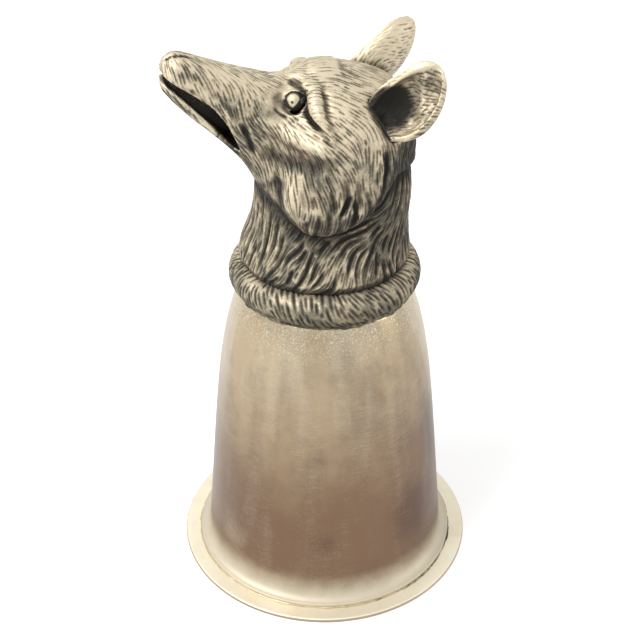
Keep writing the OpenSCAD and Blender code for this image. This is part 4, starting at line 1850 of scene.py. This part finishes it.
@dataclass(frozen=True)
class Eyes:
    """Pair of eye beads with drilled pupils."""

    middle: Triple = EYE_MIDDLE
    radius: float = 2.2
    look: Triple = (0.82, -0.40, 0.40)
    pupil_w: float = 0.28
    pupil_depth: float = 0.3
    pupil_drop: float = 0.3
    rim_from: float = 1.15
    rim_fade: float = 0.25
    right_lower: float = 0.5

    def build(self) -> None:
        """Make both eyes."""
        self.eye("left", 1.0, 0.0)
        self.eye("right", -1.0, self.right_lower)

    def eye(self, side: str, sign: float, drop: float) -> None:
        """Make one eye, with painted shade outside its almond-shaped opening.

        Args:
            side: left or right.
            sign: 1 for the left side and -1 for the right one.
            drop: how far the eye sits below its place.
        """
        bm = bmesh.new()
        bmesh.ops.create_icosphere(bm, subdivisions=6, radius=self.radius)
        skin = Skin(meshed(bm, f"{side}_eye_skin"))
        look = np.array(self.look) * np.array([sign, 1.0, 1.0])
        look /= np.linalg.norm(look)
        ahead = skin.points @ look > 0.0
        down = np.array([0.0, 0.0, -1.0]) + look[2] * look
        down /= np.linalg.norm(down)
        low, across = skin.points @ down, skin.points @ np.cross(look, down)
        narrow = 0.84 + 0.5 * np.clip(low + 0.4, 0.0, 2.0)
        off = np.hypot(across * narrow, low * np.where(low < 0.0, 0.76, 0.95))
        rim = ramp(np.where(ahead, off, np.inf) - self.rim_from, self.rim_fade)
        pupil = np.exp(-(np.hypot(across, low - self.pupil_drop) / self.pupil_w) ** 4)
        pupil = np.where(ahead, pupil, 0.0)
        skin.push(-self.pupil_depth * pupil)
        # painted shade on the bead outside its opening, and a dark pupil
        skin.covers[Cover.SHADE_AND_STAIN] = np.clip(0.12 + 0.7 * pupil + 0.75 * rim, 0.0, 1.0)
        x, y, z = self.middle
        skin.points = skin.points + np.array([x * sign, y, z - drop])
        skin.settle()
        cast_shown(f"{side}_eye_bead", skin, f"{side}_eye")


@dataclass(frozen=True)
class Studio:
    """Pale floor, soft light and the photograph's viewpoint."""

    eye: Triple = (262.6, -55.8, 245.8)
    pitch: float = 33.7
    lens: float = 73.1
    sensor: float = 36.0
    shift: float = -0.0073
    aim: Triple = (0.0, 0.0, 0.07)
    clip: tuple[float, float] = (0.01, 20.0)
    floor_half: float = 8.0
    ambient: float = 0.55

    def world(self) -> None:
        """Light the stage evenly, with white behind it to the eye and in the metal."""
        g = Graph(bpy.data.worlds.new("studio"))
        inputs = {"Value": g.seen(), "To Min": self.ambient, "To Max": 1.0}
        strength = g.node("ShaderNodeMapRange", None, inputs)
        inputs = {"Color": (*WHITE, 1.0), "Strength": strength}
        bpy.context.scene.world = g.end(g.node("ShaderNodeBackground", None, inputs), "World")

    def floor(self) -> None:
        """Lay the floor."""
        bm = bmesh.new()
        bmesh.ops.create_grid(bm, x_segments=1, y_segments=1, size=self.floor_half)
        mesh = meshed(bm, "floor")
        mesh.materials.append(FloorFinish().material())
        floor = bpy.data.objects.new("floor", mesh)
        bpy.context.scene.collection.objects.link(floor)

    def lamp(self, name: str, place: Triple, size: float, power: float) -> None:
        """Hang a soft white lamp that points at the cup.

        Args:
            name: the lamp's name.
            place: its place in metres.
            size: its side in metres.
            power: its power in watts.
        """
        data = bpy.data.lights.new(name, "AREA")
        data.size, data.energy = size, power
        lamp = bpy.data.objects.new(name, data)
        lamp.location = place
        aim = Vector(self.aim) - Vector(place)
        lamp.rotation_euler = aim.to_track_quat("-Z", "Y").to_euler()
        bpy.context.scene.collection.objects.link(lamp)

    def camera(self) -> None:
        """Set the camera at the photograph's viewpoint."""
        data = bpy.data.cameras.new("photo_view")
        data.lens, data.sensor_width, data.shift_x = self.lens, self.sensor, self.shift
        data.clip_start, data.clip_end = self.clip
        camera = bpy.data.objects.new("photo_view", data)
        camera.location = Vector(self.eye) * MM
        flat = Vector((-self.eye[0], -self.eye[1], 0.0)).normalized()
        down = math.radians(self.pitch)
        aim = flat * math.cos(down) - Vector((0.0, 0.0, math.sin(down)))
        camera.rotation_euler = aim.to_track_quat("-Z", "Y").to_euler()
        bpy.context.scene.collection.objects.link(camera)
        bpy.context.scene.camera = camera

    def build(self) -> None:
        """Set up the stage."""
        bpy.context.scene.view_settings.view_transform = "Standard"
        self.world()
        self.floor()
        self.lamp("key", (0.2, -0.6, 0.85), 0.5, 7.0)
        self.lamp("strip", (0.35, 0.9, 0.3), 0.25, 1.2)
        self.camera()


def main() -> None:
    """Build every piece in order and note the sizes."""
    logging.basicConfig(level=logging.INFO, format="%(name)s %(message)s")
    Studio().build()
    for part in (Cup(), Collar(), Neck(), Head(), Ears(), Eyes()):
        part.build()


if __name__ == "__main__":
    main()
